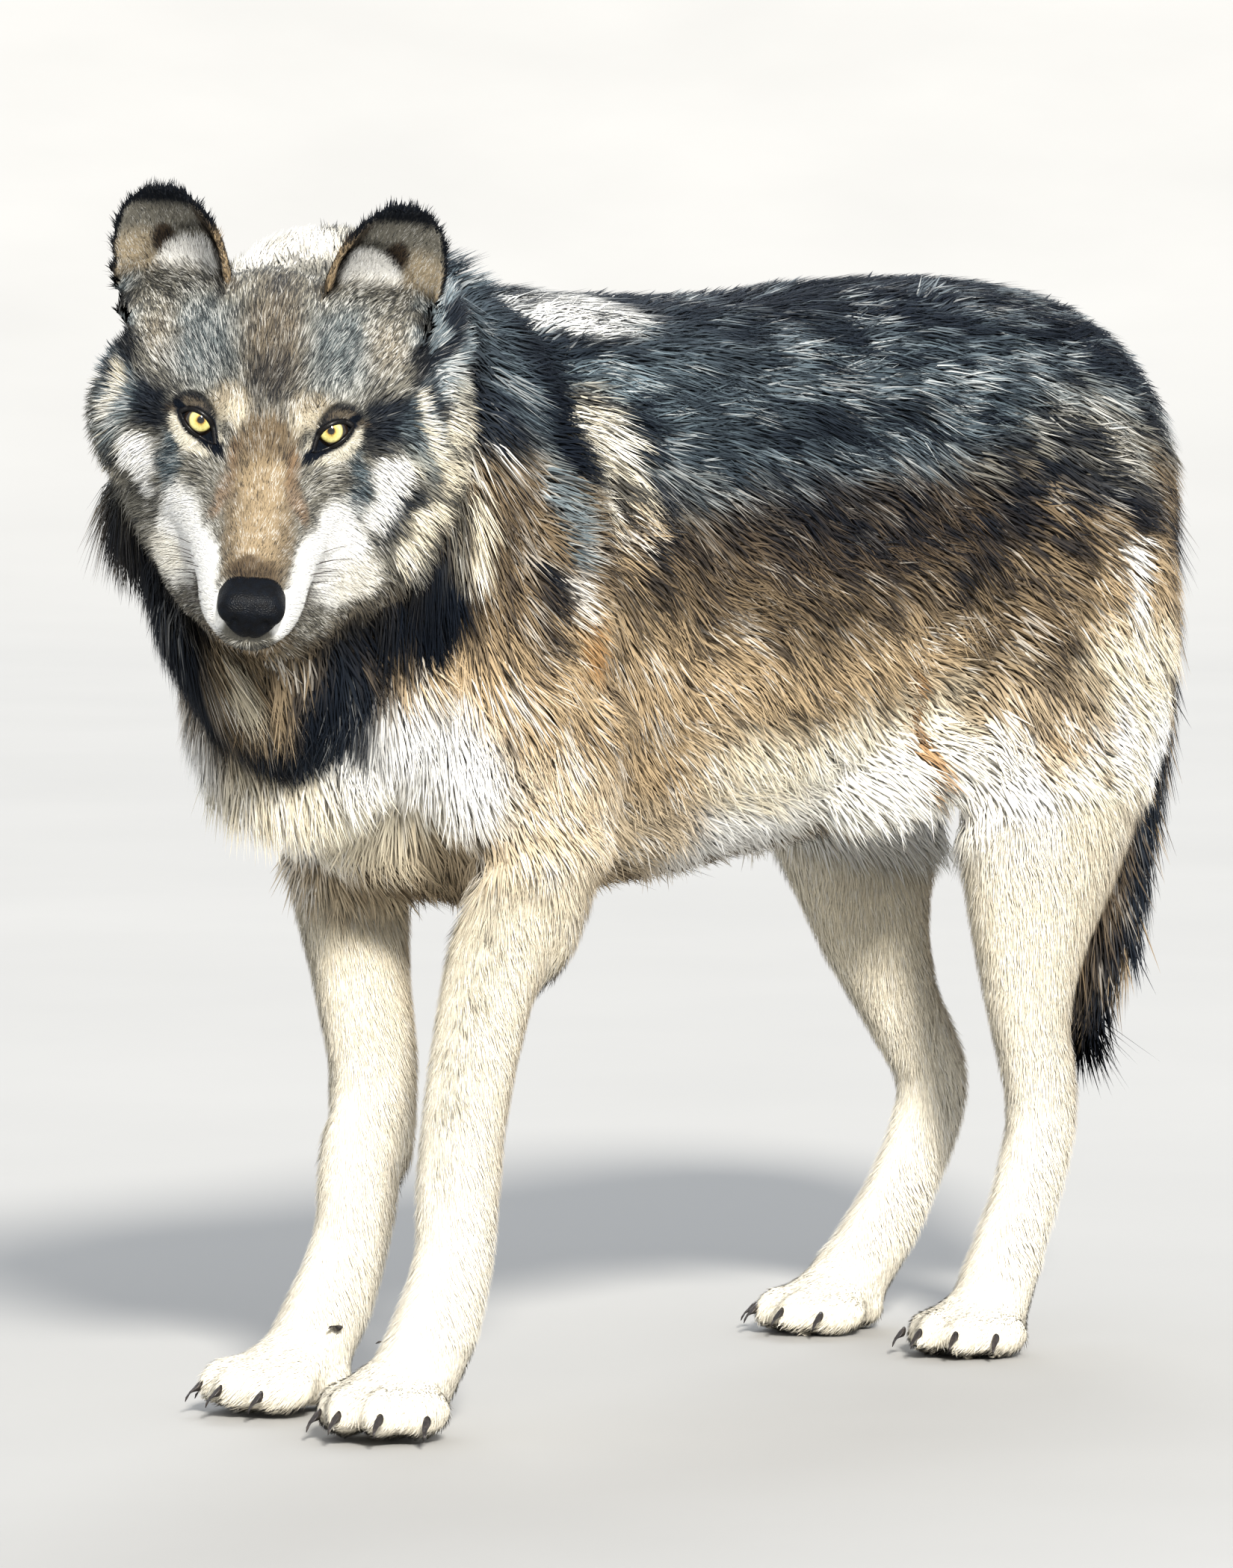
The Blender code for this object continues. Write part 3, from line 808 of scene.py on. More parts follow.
# The body, from front to rear, folded so that both sides match.
BODY_MARKS: list[Patch | Streak] = [
    Patch((0, 200, 800), (130, 360, 85), SOOT, 100, 75, 15, 30),
    Patch((0, 460, 730), (110, 150, 100), BLACK, 95, 75, 10, 30),
    Patch((130, 120, 595), (50, 180, 36), UMBER, 85, 55, 15),
    Patch((130, 385, 650), (55, 70, 45), GREY, 85, 40, 45),
    Streak((125, 345, 602), (125, 440, 600), 16, SOOT, 80, 60, 15),
    Patch((130, 300, 520), (60, 65, 60), BROWN, 90, 50, 15),
    Patch((130, 305, 455), (50, 60, 30), FAWN, 90, 35, 20),
    Patch((140, 325, 425), (40, 25, 22), TAN, 80, 25, 15),
    Patch((105, 262, 400), (55, 36, 45), (0.9, 0.85, 0.74), 90, 4, 45, 40),
    Patch((135, 365, 375), (40, 45, 50), CREAM, 85, 12, 25),
    Streak((138, 412, 566), (138, 414, 520), 12, WHITE, 85, 10, 50, 45),
    Streak((138, 412, 500), (138, 418, 400), 18, CREAM, 85, 10, 45, 45),
    Streak((143, 362, 480), (142, 366, 410), 10, FAWN, 80, 35, 10),
    Streak((131, 352, 645), (128, 290, 610), 10, SOOT, 65, 80, 5, 60),
    Streak((128, 280, 606), (121, 238, 545), 13, BLACK, 80, 85, 2, 70),
    Patch((90, 180, 410), (70, 80, 32), (0.9, 0.86, 0.76), 85, 5, 45, 50),
    Streak((106, 205, 480), (108, 224, 410), 10, RUST, 90, 45, 0),
    Streak((104, 231, 405), (88, 243, 320), 9, UMBER, 85, 55, 0),
    Patch((60, -85, 752), (50, 66, 18), WHITE, 75, 30, 60, 45),
    Patch((100, -95, 705), (45, 50, 28), SLATE, 85, 40, 50, 30),
    Patch((125, -128, 642), (50, 28, 60), CREAM, 95, 30, 55, 30),
    Patch((130, -118, 590), (50, 26, 30), TAN, 80, 35, 35, 30),
    Streak((112, -90, 690), (131, -92, 590), 11, SOOT, 85, 75, 5),
    Patch((135, -135, 500), (50, 70, 50), TAN, 85, 25, 20),
    Patch((144, -176, 520), (30, 18, 22), RUST, 80, 30, 10),
    Patch((140, -235, 612), (50, 36, 45), BROWN, 90, 40, 30),
    Streak((140, -202, 650), (146, -194, 588), 13, SLATE, 85, 35, 35),
    Patch((149, -196, 556), (30, 12, 18), WHITE, 55, 20, 35),
    Patch((130, -262, 682), (50, 34, 34), SOOT, 95, 75, 8),
    Streak((55, -158, 755), (97, -170, 715), 15, BLACK, 95, 85, 4),
    Streak((100, -172, 712), (130, -172, 650), 21, BLACK, 98, 90, 2),
    Streak((150, -218, 574), (150, -230, 526), 12, BLACK, 95, 85, 2),
    Streak((150, -232, 522), (146, -252, 500), 9, SOOT, 80, 70, 5),
]

# Dark patches under the throat and the head, the white chest below them, and the locks behind the cheeks.
THROAT_MARKS: list[Patch | Streak] = [
    Patch((140, -265, 545), (50, 45, 40), BROWN, 90, 40, 25),
    Patch((135, -285, 500), (45, 44, 32), TAN, 90, 35, 25),
    Patch((100, -312, 428), (100, 66, 58), WHITE, 100, 0, 50, 28),
    Patch((-70, -270, 430), (80, 110, 70), WHITE, 100, 3, 40, 25),
    Patch((10, -330, 400), (90, 90, 45), CREAM, 90, 5, 30, 30),
    Patch((60, -400, 500), (75, 80, 75), SOOT, 100, 60, 10, 25),
    Patch((130, -335, 552), (50, 55, 40), BLACK, 100, 85, 2, 25),
    Patch((-20, -420, 500), (60, 70, 70), SOOT, 95, 60, 10, 30),
    Patch((-90, -360, 560), (60, 80, 80), SOOT, 80, 50, 15, 35),
    Patch((-90, -300, 650), (70, 80, 80), SLATE, 85, 50, 30, 40),
    Streak((143, -312, 650), (140, -306, 580), 14, GREY, 90, 25, 40),
    Streak((142, -284, 645), (139, -280, 578), 10, CREAM, 95, 5, 55),
    Streak((134, -258, 668), (138, -244, 640), 5.5, WHITE, 70, 20, 40),
    Streak((143, -334, 650), (145, -336, 602), 11, WHITE, 90, 5, 50),
    Patch((0, -455, 570), (50, 60, 75), SOOT, 90, 50, 20, 35),
    Streak((90, -410, 530), (70, -420, 470), 30, FAWN, 85, 35, 25),
    Streak((88, -415, 530), (68, -425, 470), 11, CREAM, 75, 10, 30),
]

# The head, from the crown down and from the middle outwards, folded.
FACE_MARKS: list[Patch | Streak] = [
    Patch((0, 146, 45), (54, 38, 36), (0.7, 0.67, 0.6), 85, 22, 55, 45),
    Patch((0, 104, 55), (50, 22, 30), GREY, 80, 60, 15),
    Patch((50, 38, 40), (34, 40, 22), SLATE, 60, 30, 35, 60),
    Patch((74, 56, 28), (16, 24, 12), TAN, 22, 25, 25, 60),
    Patch((0, 35, 45), (22, 60, 24), BROWN, 60, 45, 20, 50),
    Streak((0, -5, 28), (0, 85, 60), 8, SOOT, 55, 60, 10, 70),
    Streak((9, -15, 18), (10, 20, 38), 6, SOOT, 45, 55, 5, 70),
    Patch((27, 1, 18), (15, 15, 12), (0.38, 0.32, 0.23), 70, 12, 30, 45),
    Patch((24, -7, 14), (10, 8, 8), CREAM, 50, 8, 30, 60),
    Patch((0, -22, 6), (14, 24, 18), BROWN, 75, 25, 25),
    Patch((84, 18, -4), (30, 24, 15), SOOT, 95, 60, 8),
    Patch((104, 64, 6), (14, 30, 18), BLACK, 75, 60, 8),
    Patch((101, 40, -30), (20, 24, 30), SLATE, 70, 45, 30),
    Streak((104, 52, -6), (121, 30, -58), 7.5, CREAM, 70, 15, 45),
    Patch((87, 0, -36), (18.5, 18, 14), WHITE, 100, 0, 50, 25),
    Patch((83, -11, -55), (15, 16, 18), WHITE, 100, 0, 50, 25),
    Streak((66, -10, -12), (61, -26, -48), 8.5, SLATE, 90, 55, 15, 45),
    Streak((108, 8, -52), (72, -26, -80), 7, SOOT, 85, 55, 10, 45),
    Streak((116, 14, -72), (100, -10, -90), 10, CREAM, 85, 10, 45),
    Patch((54, -42, -66), (22, 30, 38), WHITE, 100, 0, 45, 22),
    Patch((66, -36, -88), (20, 22, 16), (0.86, 0.82, 0.72), 90, 8, 35),
    Streak((0, -26, 2), (0, -100, -28), 26, BROWN, 80, 20, 15, 20),
    Streak((0, -46, -10), (0, -96, -26), 18, (0.36, 0.28, 0.18), 80, 18, 20, 40),
    Streak((21, -27, -1), (29, -56, -28), 5.5, (0.26, 0.155, 0.085), 55, 25, 5, 80),
    Patch((0, -112, -31), (20, 13, 12), UMBER, 80, 30, 5),
    Patch((36, -85, -58), (18, 56, 23), WHITE, 100, 0, 45, 20),
    Patch((26, -120, -62), (12, 18, 18), WHITE, 100, 0, 35, 20),
    Patch((0, -100, -104), (36, 40, 18), TAN, 80, 15, 20),
    Streak((0, -76, -125), (0, -70, -200), 28, FAWN, 90, 30, 25),
    Streak((4, -80, -135), (4, -74, -190), 11, CREAM, 75, 10, 35, 50),
]


def ear_plume(out: Array, rise: Array) -> Array:
    """How far from an ear's pale plume each place lies, 1 at its edge."""
    x, z = out + 0.012, rise - 0.037
    return np.hypot((0.83 * x - 0.55 * z) / 0.0265, (0.55 * x + 0.83 * z) / 0.0165)


@dataclass
class Ground:
    """Points to be coloured, the way they face, and their shares of the zones."""

    points: Array
    normals: Array
    zones: Array

    def of(self, *zones: Zone) -> Array:
        """Share of one zone, or of several together."""
        return sum(self.zones[:, zone.value] for zone in zones)


@dataclass
class Dye:
    """Hair's colour, and its shares of dark and of pale ends."""

    colour: Array
    dark: Array
    light: Array

    def lay_all(self, marks: list[Patch | Streak], points: Array, share: Array) -> None:
        """Lays a table of markings, each point by its share."""
        for mark in marks:
            soft = mark.soft / 100
            worn = mark.strength / 100 * ease(mark.distance(points), 1 + soft, 1 - soft)
            self.lay(worn * np.clip(share, 0, 1), mark.colour, mark.dark / 100, mark.light / 100)

    def lay(self, share: Array, colour: Colour | Array, dark: float, light: float) -> None:
        """Lays one marking over what is there."""
        self.colour = blend(self.colour, colour, share)
        self.dark = blend(self.dark, dark, share)
        self.light = blend(self.light, light, share)


@dataclass
class Markings:
    """Wolf's pattern, worn alike by its skin and its coat."""

    stance: Stance
    ragged: float = 0.012

    def wear(self, ground: Ground) -> Dye:
        """Colours points.

        Args:
            ground: The points.

        Returns:
            Their dye.
        """
        points = ground.points
        head = self.stance.head.into(points)
        jog = columns(*(speckle(points, 0.022, 11 + k) - 0.5 for k in range(3)))
        fine = columns(*(speckle(points, 0.007, 21 + k) - 0.5 for k in range(3)))
        body = self.stance.laid_out(points) + jog * 1.6 * self.ragged + fine * self.ragged
        face = head + (jog * 0.6 + fine * 0.5) * self.ragged
        face[:, 0] = np.abs(face[:, 0])
        folded = body.copy()
        folded[:, 0] = np.abs(folded[:, 0])
        dye = self.body_ground(ground, body)
        dye.lay_all(BODY_MARKS, folded, 1 - ground.of(Zone.TAIL) - ground.of(Zone.HEAD) - ground.of(Zone.EAR))
        self.locks(ground, folded, dye)
        self.legs(ground, body, dye)
        dye.lay_all(THROAT_MARKS, body, 1 - ground.of(Zone.HEAD) - ground.of(Zone.FORELEG) - ground.of(Zone.EAR))
        self.tail(ground, body, dye)
        self.head_ground(ground, face, dye)
        dye.lay_all(FACE_MARKS, face, ground.of(Zone.HEAD, Zone.NECK))
        self.eye_lines(ground, head, dye)
        self.ears(ground, dye)
        return dye

    def body_ground(self, ground: Ground, body: Array) -> Dye:
        """Body's colours from its dark back to its cream belly, with painted shade under the belly."""
        y, z = body[:, 1], body[:, 2]
        count = len(body)
        dye = Dye(np.tile(np.array(GREY), (count, 1)), np.full(count, 0.35), np.full(count, 0.25))
        height = z + 0.03 * np.sin(y * 9 + 1)
        dye.lay(ease(height, 0.6, 0.66), (0.095, 0.122, 0.14), 0.62, 0.24)
        dye.lay(ease(height, 0.64, 0.59), BROWN, 0.45, 0.18)
        dye.lay(ease(height, 0.56, 0.51), TAN, 0.28, 0.22)
        dye.lay(ease(height, 0.505, 0.455), CREAM, 0.08, 0.3)
        dye.lay(ease(height, 0.44, 0.41), WHITE, 0, 0.4)
        front = ease(y, 0.05, -0.05)
        dye.lay(front * ease(height, 0.56, 0.5), TAN, 0.3, 0.25)
        dye.lay(front * ease(height, 0.445, 0.405), (0.64, 0.53, 0.38), 0.12, 0.3)
        # Painted shade: the downward-facing underside of the belly is laid darker brown.
        dye.lay(ease(-ground.normals[:, 2], 0.7, 0.92) * ease(height, 0.44, 0.4), BROWN, 0.3, 0.1)
        return dye

    def locks(self, ground: Ground, body: Array, dye: Dye) -> None:
        """Pale locks over the saddle, and dark partings between locks."""
        y, z = body[:, 1], body[:, 2]
        trunk = np.clip(ground.of(Zone.TRUNK, Zone.NECK), 0, 1)
        along = body * (1, 0.3, 0.85) + body[:, 1:2] * (0, 0, 1) * 0.12
        grain = 0.62 * speckle(along, 0.01, 43) + 0.38 * speckle(along, 0.005, 44)
        rear = ease(y, 0, 0.06)
        high = ease(z, 0.6, 0.66) * trunk * rear
        dye.lay(high * ease(grain, 0.55, 0.7) * 0.55, (0.21, 0.245, 0.265), 0.15, 0.4)
        shoulder = ease(np.abs(y + 0.11), 0.055, 0.035)
        parting = ease(grain, 0.49, 0.39) * trunk * np.maximum(rear, shoulder)
        dye.lay(parting * ease(z, 0.5, 0.6) * 0.75, BLACK, 0.8, 0.02)
        dye.lay(parting * ease(z, 0.6, 0.5) * ease(z, 0.43, 0.48) * 0.55, BROWN, 0.4, 0.1)

    def legs(self, ground: Ground, body: Array, dye: Dye) -> None:
        """Cream legs, ticked in front and tan behind."""
        (x, _, z), (across, back, _) = body.T, ground.normals.T
        legs = np.clip(ground.of(Zone.FORELEG, Zone.HIND_LEG, Zone.PAW), 0, 1)
        dye.lay(legs * ease(z, 0.46, 0.3), (0.82, 0.745, 0.59), 0.04, 0.3)
        dye.lay(legs * ease(z, 0.36, 0.12) * 0.7, (0.84, 0.79, 0.68), 0.02, 0.3)
        ahead = ease(-back, 0.25, 0.85) * ease(np.abs(z - 0.27), 0.15, 0.05)
        outer = ease(np.sign(x) * across, -0.3, 0.5)
        ticked = ease(speckle(ground.points, 0.0035, 47), 0.45, 0.62)
        dye.lay(ground.of(Zone.FORELEG) * ahead * outer * (0.25 + 0.25 * ticked), GREY, 0.5, 0.15)
        behind = ease(back, 0.2, 0.8) * ease(z, 0.22, 0.34)
        dye.lay(legs * behind * 0.6, TAN, 0.2, 0.15)
        dye.lay(legs * ease(z, 0.06, 0.22) * ease(back, -0.1, 0.7) * 0.5, TAN, 0.15, 0.2)

    def tail(self, ground: Ground, body: Array, dye: Dye) -> None:
        """Black tail with tan streaks, paler beneath its root."""
        tail = ground.of(Zone.TAIL)
        dye.lay(tail, SOOT, 0.5, 0.22)
        streak = ease(speckle(body * (1, 1, 0.3), 0.014, 41), 0.55, 0.72)
        dye.lay(tail * streak * 0.7, TAN, 0.25, 0.25)
        dye.lay(tail * ease(-ground.normals[:, 1], 0.3, 0.8) * 0.6, BROWN, 0.3, 0.2)
        dye.lay(tail * ease(body[:, 2], 0.26, 0.19), BLACK, 0.7, 0.05)

    def head_ground(self, ground: Ground, face: Array, dye: Dye) -> None:
        """Grey of the head, broken into locks towards the ruff."""
        x, _, z = face.T
        head = ground.of(Zone.HEAD)
        dye.lay(head, GREY, 0.35, 0.25)
        dye.lay(head * ease(z, 0, 0.03), GREY, 0.45, 0.28)
        locks = ease(speckle(face * (0.35, 0.6, 1), 0.012, 51), 0.45, 0.65)
        edge = head * ease(x, 0.085, 0.105) * locks
        dye.lay(head * ease(x, 0.085, 0.11) * ease(z, -0.045, -0.015), SOOT, 0.5, 0.25)
        dye.lay(edge * ease(z, -0.045, -0.015) * 0.7, (0.3, 0.36, 0.39), 0.2, 0.4)
        dye.lay(edge * ease(z, -0.015, -0.045) * 0.8, CREAM, 0.15, 0.4)

    def eye_lines(self, ground: Ground, head: Array, dye: Dye) -> None:
        """Black lids, a painted shadow along the upper lid's fold with painted shade below it, a pale crescent below
        the eye, and dark lips.
        """
        near = ground.of(Zone.HEAD)
        lids = Almond()
        for side in SIDES:
            local = self.stance.lids[side].into(ground.points)
            along, ahead, across = local.T
            out, up = lids.level(along, across)
            close = near * ease(ahead, -0.006, 0) * (lengths(local) < 0.04)
            crescent = ease(np.abs(np.hypot(out, up) - 0.016), 0.006, 0.003) * ease(up - 0.25 * out, 0.001, -0.004)
            dye.lay(close * crescent * 0.85, (0.62, 0.58, 0.48), 0.05, 0.25)
            arch = lids.arch(out, up)
            # Painted shade: dark brown on the upper lid, below the fold along the brow's arch.
            fold_shade = ease(arch, 0.001, -0.002) * ease(lids.distance(along, across), 0.001, 0.003) * ease(up, 0, 0.004)
            dye.lay(close * fold_shade * 0.75, (0.085, 0.065, 0.045), 0.3, 0.05)
            # Painted shadow: a black band along the arch, where the upper lid's fold casts its shadow.
            span = ease(out, -0.013, -0.0095) * ease(out, 0.025, 0.017)
            dye.lay(close * span * ease(np.abs(arch), 0.0042, 0.0004) * 0.8, BLACK, 0.8, 0)
            rim = ease(lids.distance(along, across), 0.0044, 0.002)
            beak = ease(np.hypot((along + 0.02) / 0.006, (across + 0.0045) / 0.0036), 1.3, 0.8)
            corner = ease(np.hypot((along - 0.016) / 0.006, (across + 0.0005) / 0.0028), 1.3, 0.8)
            dye.lay(close * np.maximum(np.maximum(rim, beak), corner), BLACK, 0.9, 0)
        y, z = head[:, 1], head[:, 2]
        lips = ease(np.abs(z - Mouth().line(head)), 0.0024, 0.0009)
        lips = lips * (0.25 + 0.75 * ease(y, -0.08, -0.11)) * ease(y, -0.04, -0.055)
        dye.lay(near * lips, SOOT, 0.8, 0)

    def ears(self, ground: Ground, dye: Dye) -> None:
        """Tawny backs, black rims, and pale hair round a dark hollow."""
        for side in SIDES:
            local = self.stance.ears[side].into(ground.points)
            facing = ground.normals @ self.stance.ears[side].rows.T
            x, rise = local[:, 0] * side, local[:, 2] / self.stance.ear_height
            ear = ground.of(Zone.EAR) * (np.abs(x) < 0.06)
            inner = ear * ease(-facing[:, 1], -0.1, 0.5)
            dye.lay(ear, BROWN, 0.35, 0.12)
            dye.lay(inner, GREY, 0.15, 0.3)
            dye.lay(inner * ease(x, 0.006, 0.016) * ease(rise, 0.72, 0.5), (0.4, 0.335, 0.24), 0.1, 0.35)
            hollow = ease(np.hypot((x - 0.003) / 0.0085, (rise - 0.52) / 0.155), 1.25, 0.75)
            dye.lay(inner * hollow * 0.95, UMBER, 0.6, 0)
            dye.lay(inner * ease(ear_plume(x, local[:, 2]), 1.2, 0.85), WHITE, 0, 0.7)
            dye.lay(inner * ease(np.hypot((x - 0.022) / 0.009, (rise - 0.09) / 0.1), 1.3, 0.8), CREAM, 0, 0.25)
            half = self.stance.ear_half_width * np.interp(rise, [0.2, 0.58, 0.84, 1], [1, 0.97, 0.72, 0.2])
            half = half * np.where(x < 0, 1 + self.stance.ear_flare * (1 - rise**2), 1)
            inside = x / half
            fold = ease(-inside, 0.62, 0.74) * ease(rise, 0.92, 0.8)
            dye.lay(inner * fold * 0.8, UMBER, 0.5, 0.15)
            rim = np.maximum(ease(np.abs(inside), 0.86, 0.96) * ease(rise, 0.12, 0.35), ease(rise, 0.82, 0.91))
            dye.lay(ear * rim * 0.95, BLACK, 0.8, 0.02)
            edge = ease(-inside, 0.84, 0.92) * ease(rise, 0.8, 0.6)
            dye.lay(inner * edge * 0.8, TAN, 0.2, 0.15)


# ---- face shapes


@dataclass(frozen=True)
class Almond:
    """Opening between the lids, seen along the eye."""

    inner: float = -0.0185
    outer: float = 0.013
    chord: float = -0.0035
    above: float = 0.0094
    below: float = 0.0043
    arch_top: float = 0.017

    def edges(self, along: Array) -> Pair:
        """How far the opening reaches up and down."""
        middle, half = (self.inner + self.outer) / 2, (self.outer - self.inner) / 2
        part = np.clip((along - middle) / half, -1, 1)
        body = np.maximum(1 - part**2, 0)
        upper = body ** np.where(part < 0, 1.1, 0.6) * (1 + 0.1 * part)
        lower = body ** np.where(part < 0, 0.8, 0.6)
        return self.chord + self.above * upper, self.chord - self.below * lower

    def level(self, along: Array, across: Array) -> Pair:
        """Turns places along and across the lids to outwards and up."""
        turn = math.radians(EYE_SLANT)
        sin, cos = math.sin(turn), math.cos(turn)
        return along * cos - across * sin, along * sin + across * cos

    def arch(self, out: Array, up: Array) -> Array:
        """About how far above the arch of the brow each place is."""
        past = out - 0.006
        bend = np.where(past < 0, 48, 30)
        return (up - self.arch_top + bend * past**2) / np.sqrt(1 + (1.4 * bend * past) ** 2)

    def distance(self, along: Array, across: Array) -> Array:
        """About how far outside the opening; negative inside."""
        up, down = self.edges(along)
        past = np.maximum(self.inner - along, along - self.outer)
        return np.maximum(np.maximum(across - up, down - across), past)

    def path(self, turn: Array) -> Pair:
        """Places round the edge of the opening, by angle."""
        middle, half = (self.inner + self.outer) / 2, (self.outer - self.inner) / 2
        along = middle + half * np.cos(turn)
        up, down = self.edges(along)
        return along, np.where(np.sin(turn) >= 0, up, down)


@dataclass(frozen=True)
class LidBed:
    """How far ahead of the eyeball's middle the skin and the lids lie."""

    radius: float = 0.0125
    lid: float = 0.0012

    def outside(self, along: Array, across: Array) -> Array:
        """Skin and the lids outside the opening."""
        plane = 0.0086 + 0.26 * np.maximum(across - 0.008, 0) + 0.05 * np.maximum(-across - 0.006, 0)
        plane = plane + 0.12 * np.maximum(-along - 0.006, 0)
        away = np.hypot(along, across)
        ball = np.sqrt(np.maximum((self.radius + self.lid) ** 2 - away**2, 0))
        return np.maximum(plane, ball * ease(away, 0.0125, 0.01))

    def inside(self, along: Array, across: Array) -> Array:
        """Dark skin behind the opening."""
        away = np.hypot(along, across)
        ball = np.sqrt(np.maximum(self.radius**2 - away**2, 0))
        return np.maximum(ball - 0.0025, 0.0074)


@dataclass(frozen=True)
class Mouth:
    """Closed mouth, rising at its corners."""

    front: float = -0.08
    fall: float = 0.035
    corner: float = -0.034

    def line(self, head: Array) -> Array:
        """Height of the line at each point of the head."""
        back = head[:, 1] + 0.13
        return self.front - self.fall * back + 0.55 * np.maximum(back - 0.05, 0) ** 2


# ---- the skin


# Shares of an ear's height, 0 where it leaves the head, and how much of its width it has at each.
EAR_OUTLINE = (
    (-0.3, -0.1, 0.04, 0.4, 0.58, 0.72, 0.84, 0.93, 0.98, 1),
    (0.7, 0.92, 0.99, 1, 0.97, 0.89, 0.74, 0.54, 0.36, 0),
)

# The depth, length and width of the hair, in metres, and its tufts to a square centimetre.
HABITS = {
    Zone.HEAD: (0.0055, 0.013, 0.0011, 64),
    Zone.EAR: (0.0008, 0.006, 0.0009, 62),
    Zone.NECK: (0.02, 0.058, 0.0016, 27),
    Zone.TRUNK: (0.015, 0.046, 0.00145, 14),
    Zone.FORELEG: (0.003, 0.013, 0.0011, 26),
    Zone.HIND_LEG: (0.0038, 0.0145, 0.0012, 24),
    Zone.PAW: (0.0024, 0.0075, 0.0009, 50),
    Zone.TAIL: (0.022, 0.06, 0.0017, 14),
}


@dataclass
class Pelt:
    """Coat at each vertex of the skin."""

    depth: Array
    length: Array
    width: Array
    density: Array
    lie: Array


@dataclass
class Skin:
    """One skin, made from the merged solids and drawn in by the depth of the coat."""

    stance: Stance
    markings: Markings
    voxel: float = 0.0057
    mending: int = 14
    spread: int = 6
    lay_rounds: int = 5
    eye_reach: float = 0.03
    ear_rim: float = 0.0065
    ear_leather: float = 0.0095
    shells: list[Thing] = field(default_factory=list)

    def build(self) -> Thing:
        """Makes the skin."""
        self.obj = obj = self.fused()
        self.net = Net(obj)
        points = read(obj)
        self.read_zones(points)
        share = blend(np.ones(len(points)), 0.8, self.zone(Zone.HEAD)) * (points[:, 2] > 0.004)
        share = blend(share, 0.3, self.zone(Zone.EAR))
        points = self.net.relax(points, self.mending, share)
        move(obj, points)
        self.outer = points
        self.subdivide_face()
        self.seat_ears()
        self.draw_in()
        self.shape_face()
        self.finish()
        return obj

    def zone(self, *zones: Zone) -> Array:
        """Share of a zone, or of several together, at each vertex."""
        return sum(self.zones[:, zone.value] for zone in zones)

    def fused(self) -> Thing:
        """Merged copies of the solids, their gaps closed."""
        bm = bmesh.new()
        for name in ZONE_OF_NODE:
            bm.from_mesh(frame["nodes"][name].data)
        bmesh.ops.remove_doubles(bm, verts=bm.verts, dist=1e-5)
        for side in SIDES:
            bm.from_mesh(self.ear_shell(side).data)
            place = Matrix.Translation(Vector(self.stance.eye_middle(side)))
            bmesh.ops.create_icosphere(bm, subdivisions=3, radius=self.stance.eye_radius + 0.001, matrix=place)
        mesh = bpy.data.meshes.new("skin")
        bm.to_mesh(mesh)
        bm.free()
        obj = stand("skin", mesh)
        fuse = obj.modifiers.new("fuse", "REMESH")
        fuse.mode = "VOXEL"
        fuse.voxel_size = self.voxel
        apply_all(obj)
        self.keep_largest(obj)
        return obj

    def ear_shell(self, side: int) -> Thing:
        """One ear's shell: a cup with a thick rim."""
        obj = start(bpy.ops.mesh.primitive_uv_sphere_add, segments=64, ring_count=48, radius=1)
        points = read(obj)
        rise = -0.3 + 1.3 * (np.arcsin(np.clip(points[:, 2], -1, 1)) / math.pi + 0.5)
        turn = np.mod(np.arctan2(points[:, 1], points[:, 0]) / math.pi, 2)
        outside = turn < 1
        angle = np.where(outside, turn, 2 - turn) * math.pi
        half = self.stance.ear_half_width * np.interp(rise, *EAR_OUTLINE)
        cup = half * (1.05 - 0.6 * rise)
        across = np.where(outside, half, np.maximum(half - self.ear_rim, 0.2 * half)) * np.cos(angle)
        across *= np.where(across * side < 0, 1 + self.stance.ear_flare * (1 - rise**2), 1)
        back = np.where(outside, cup, np.maximum(cup - self.ear_leather, 0.15 * cup - 0.002)) * np.sin(angle)
        poles = np.abs(points[:, 2]) > 0.9999
        across[poles], back[poles] = 0, 0.5 * cup[poles]
        local = columns(across, back - 0.4 * cup, self.stance.ear_height * rise)
        move(obj, self.stance.ears[side].out(local))
        with editing(obj):
            bpy.ops.mesh.normals_make_consistent(inside=False)
        self.shells.append(obj)
        return obj

    def seat_ears(self) -> None:
        """Draws the skin of each ear onto its shell."""
        points, bounds = read(self.obj), self.zone(Zone.EAR)
        for side, shell in zip((1, -1), self.shells):
            local = self.stance.ears[side].into(points)
            mine = self.stance.head.into(points)[:, 0] * side > 0.018
            near = mine * ease(local[:, 2], 0.012, 0.03) * ease(bounds, 0.2, 0.7)
            tree = BVHTree.FromPolygons(read(shell).tolist(), [face.vertices[:] for face in shell.data.polygons])
            for index in np.flatnonzero(near > 0.01):
                spot = tree.find_nearest(Vector(points[index]))[0]
                points[index] += (np.array(spot) - points[index]) * near[index]
            bpy.data.objects.remove(shell)
        share = 0.5 * ease(bounds, 0.2, 0.7)
        move(self.obj, self.net.relax(points, 2, share))
        self.outer = read(self.obj)

    def keep_largest(self, obj: Thing) -> None:
        """Drops every loose bit but the body."""
        net = Net(obj)
        mark = np.arange(net.count)
        while True:
            low = np.minimum(mark[net.a], mark[net.b])
            fresh = mark.copy()
            np.minimum.at(fresh, net.a, low)
            np.minimum.at(fresh, net.b, low)
            fresh = fresh[fresh]
            if np.array_equal(fresh, mark):
                break
            mark = fresh
        loose = mark != np.bincount(mark).argmax()
        if loose.any():
            with editing(obj, loose, "VERT"):
                bpy.ops.mesh.delete(type="VERT")

